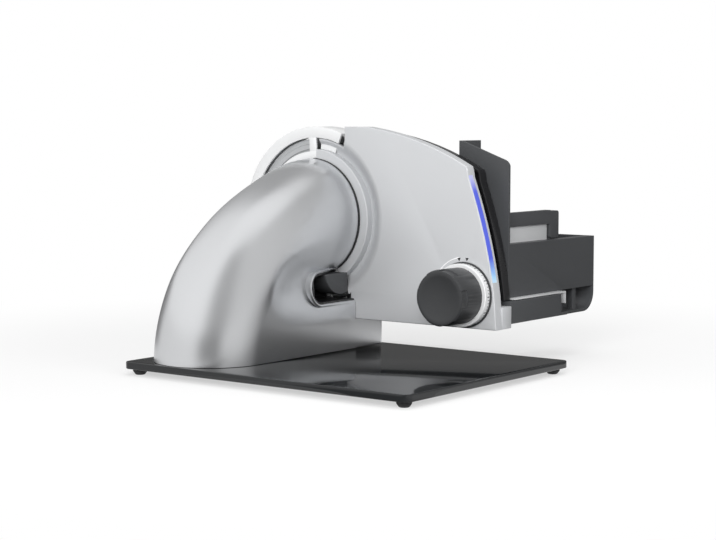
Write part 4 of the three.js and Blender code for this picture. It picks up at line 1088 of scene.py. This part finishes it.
class SLICER_OT_stage(bpy.types.Operator):
    """Pale floor, soft studio light and the camera"""

    bl_idname = "slicer.stage"
    bl_label = "Stage"

    def execute(self, context):
        self.floor()
        self.world(context)
        self.lamp("key", (0.9, -1.9, 0.8), (0.0, 0.0, 0.10), 1.3, 50.0)
        self.lamp("side", (1.9, -0.2, 0.8), (0.1, 0.0, 0.12), 1.2, 14.0)
        self.lamp("top", (0.0, 0.3, 2.0), (0.0, 0.0, 0.10), 1.8, 14.0)
        low = (
            (-180, 0.25), (-166, 0.75), (-92, 0.82), (-77, 0.24), (-52, 0.24), (-38, 0.80), (-4, 0.76), (24, 0.45),
            (48, 0.15), (150, 0.10), (180, 0.25),
        )
        high = (
            (-180, 0.9), (-85, 1.0), (-66, 0.45), (-46, 0.45), (-28, 0.68), (15, 0.66), (60, 0.42), (150, 0.38),
            (180, 0.9),
        )
        self.card("low_cards", ((0.25, 0.002), (1.1, 0.002), (1.1, 0.3)), low)
        self.card("high_cards", ((1.1, 0.3), (1.1, 0.9), (0.6, 1.65)), high)
        bpy.ops.object.camera_add(
            location=(1.0409, -1.3980, 0.2485), rotation=(math.radians(90 - 5.02), 0, math.radians(37.41))
        )
        camera = bpy.context.object
        camera.data.sensor_fit = "HORIZONTAL"
        camera.data.sensor_width = 36.0
        camera.data.lens = 87.39
        context.scene.camera = camera
        context.scene.view_settings.view_transform = "Standard"
        return {"FINISHED"}

    def lamp(self, name, place, target, size, power):
        aim = (Vector(target) - Vector(place)).to_track_quat("-Z", "Y").to_euler()
        bpy.ops.object.light_add(type="AREA", location=place, rotation=aim)
        lamp = bpy.context.object
        lamp.name = name
        lamp.data.shape = "DISK"
        lamp.data.size = size
        lamp.data.energy = power
        lamp.visible_glossy = False

    def card(self, name, profile, levels):
        """Ring of grey cards that only mirrors see, as cards stand round satin metal in a studio."""
        pick()
        bpy.ops.mesh.primitive_grid_add(x_subdivisions=120, y_subdivisions=len(profile) - 1, size=1)
        card = bpy.context.object
        for j, (r, z) in enumerate(profile):
            for i in range(121):
                a = math.radians(3 * i - 180)
                card.data.vertices[j * 121 + i].co = (r * math.cos(a), r * math.sin(a), z)
        made, tree = new_material(name)
        link = tree.links.new
        tree.nodes.clear()
        out = new_node(tree, "OutputMaterial")
        glow = new_node(tree, "Emission")
        coords = new_node(tree, "TexCoord")
        split = new_node(tree, "SeparateXYZ")
        link(coords.outputs["Object"], split.inputs[0])
        angle = new_node(tree, "Math", operation="ARCTAN2")
        link(split.outputs["Y"], angle.inputs[0])
        link(split.outputs["X"], angle.inputs[1])
        along = new_node(tree, "MapRange", {"From Min": -math.pi, "From Max": math.pi})
        link(angle.outputs[0], along.inputs["Value"])
        ramp = graded(tree, [((degrees + 180) / 360, (level, level, level)) for degrees, level in levels])
        link(along.outputs["Result"], ramp.inputs["Fac"])
        link(ramp.outputs["Color"], glow.inputs["Color"])
        link(glow.outputs[0], out.inputs["Surface"])
        card.data.materials.append(made)
        card.name = name
        card.visible_camera = False
        card.visible_diffuse = False
        card.visible_transmission = False
        card.visible_shadow = False

    def seen(self, tree):
        """One where a camera, mirror or glass ray looks, else nought."""
        path = new_node(tree, "LightPath")
        either = new_node(tree, "Math", operation="MAXIMUM")
        tree.links.new(path.outputs["Is Camera Ray"], either.inputs[0])
        tree.links.new(path.outputs["Is Glossy Ray"], either.inputs[1])
        any_ray = new_node(tree, "Math", operation="MAXIMUM")
        tree.links.new(either.outputs[0], any_ray.inputs[0])
        tree.links.new(path.outputs["Is Transmission Ray"], any_ray.inputs[1])
        return any_ray.outputs[0]

    def world(self, context):
        world = bpy.data.worlds.new("studio")
        world.use_nodes = True
        tree = world.node_tree
        tree.nodes.clear()
        out = new_node(tree, "OutputWorld")
        white = new_node(tree, "Background", {"Strength": 1.0, "Color": (1, 1, 1, 1)})
        fill = new_node(tree, "Background", {"Strength": 0.45, "Color": (1, 1, 1, 1)})
        mix = new_node(tree, "MixShader")
        tree.links.new(self.seen(tree), mix.inputs[0])
        tree.links.new(fill.outputs[0], mix.inputs[1])
        tree.links.new(white.outputs[0], mix.inputs[2])
        tree.links.new(mix.outputs[0], out.inputs["Surface"])
        world.cycles.sampling_method = "NONE"
        context.scene.world = world

    def floor(self):
        pick()
        bpy.ops.mesh.primitive_circle_add(vertices=128, radius=8.0, fill_type="NGON")
        floor = bpy.context.object
        floor.name = "floor"
        made, tree = new_material("pale_floor")
        link = tree.links.new
        tree.nodes.clear()
        out = new_node(tree, "OutputMaterial")
        matt = new_node(tree, "BsdfDiffuse", {"Color": (0.80, 0.80, 0.80, 1)})
        glow = new_node(tree, "Emission", {"Color": (1, 1, 1, 1)})
        link(self.seen(tree), glow.inputs["Strength"])
        coords = new_node(tree, "TexCoord")
        far = new_node(tree, "VectorMath", operation="LENGTH")
        link(coords.outputs["Object"], far.inputs[0])
        fade = new_node(
            tree, "MapRange", {"From Min": 0.22, "From Max": 0.75, "To Min": 0.55, "To Max": 1.0},
            interpolation_type="SMOOTHSTEP",
        )
        link(far.outputs["Value"], fade.inputs["Value"])
        mix = new_node(tree, "MixShader")
        link(fade.outputs["Result"], mix.inputs[0])
        link(matt.outputs[0], mix.inputs[1])
        link(glow.outputs[0], mix.inputs[2])
        link(mix.outputs[0], out.inputs["Surface"])
        floor.data.materials.append(made)


PIECES = (
    SLICER_OT_base, SLICER_OT_horn, SLICER_OT_switch, SLICER_OT_guard, SLICER_OT_housing, SLICER_OT_light,
    SLICER_OT_knob, SLICER_OT_marks, SLICER_OT_blade, SLICER_OT_stop, SLICER_OT_rails, SLICER_OT_carriage,
    SLICER_OT_pusher, SLICER_OT_works, SLICER_OT_stage,
)


class SLICER_PT_panel(bpy.types.Panel):
    """Pieces, sizes and colours of the slicer"""

    bl_idname = "SLICER_PT_panel"
    bl_label = "Food slicer"
    bl_space_type = "VIEW_3D"
    bl_region_type = "UI"
    bl_category = "Slicer"

    def draw(self, context):
        for group in (context.scene.slicer_sizes, context.scene.slicer_colours):
            box = self.layout.box()
            for key in group.__annotations__:
                box.prop(group, key)
        for piece in PIECES:
            self.layout.operator(piece.bl_idname)


CLASSES = (SlicerSizes, SlicerColours, *PIECES, SLICER_PT_panel)


def register():
    for entry in CLASSES:
        bpy.utils.register_class(entry)
    bpy.types.Scene.slicer_sizes = bpy.props.PointerProperty(type=SlicerSizes)
    bpy.types.Scene.slicer_colours = bpy.props.PointerProperty(type=SlicerColours)


def unregister():
    del bpy.types.Scene.slicer_sizes
    del bpy.types.Scene.slicer_colours
    for entry in reversed(CLASSES):
        bpy.utils.unregister_class(entry)


def main():
    register()
    bpy.ops.slicer.base()
    bpy.ops.slicer.horn()
    bpy.ops.slicer.switch()
    bpy.ops.slicer.guard()
    bpy.ops.slicer.housing()
    bpy.ops.slicer.light()
    bpy.ops.slicer.knob()
    bpy.ops.slicer.marks()
    bpy.ops.slicer.blade()
    bpy.ops.slicer.stop()
    bpy.ops.slicer.rails()
    bpy.ops.slicer.carriage()
    bpy.ops.slicer.pusher()
    bpy.ops.slicer.works()
    bpy.ops.slicer.stage()


if __name__ == "__main__":
    main()
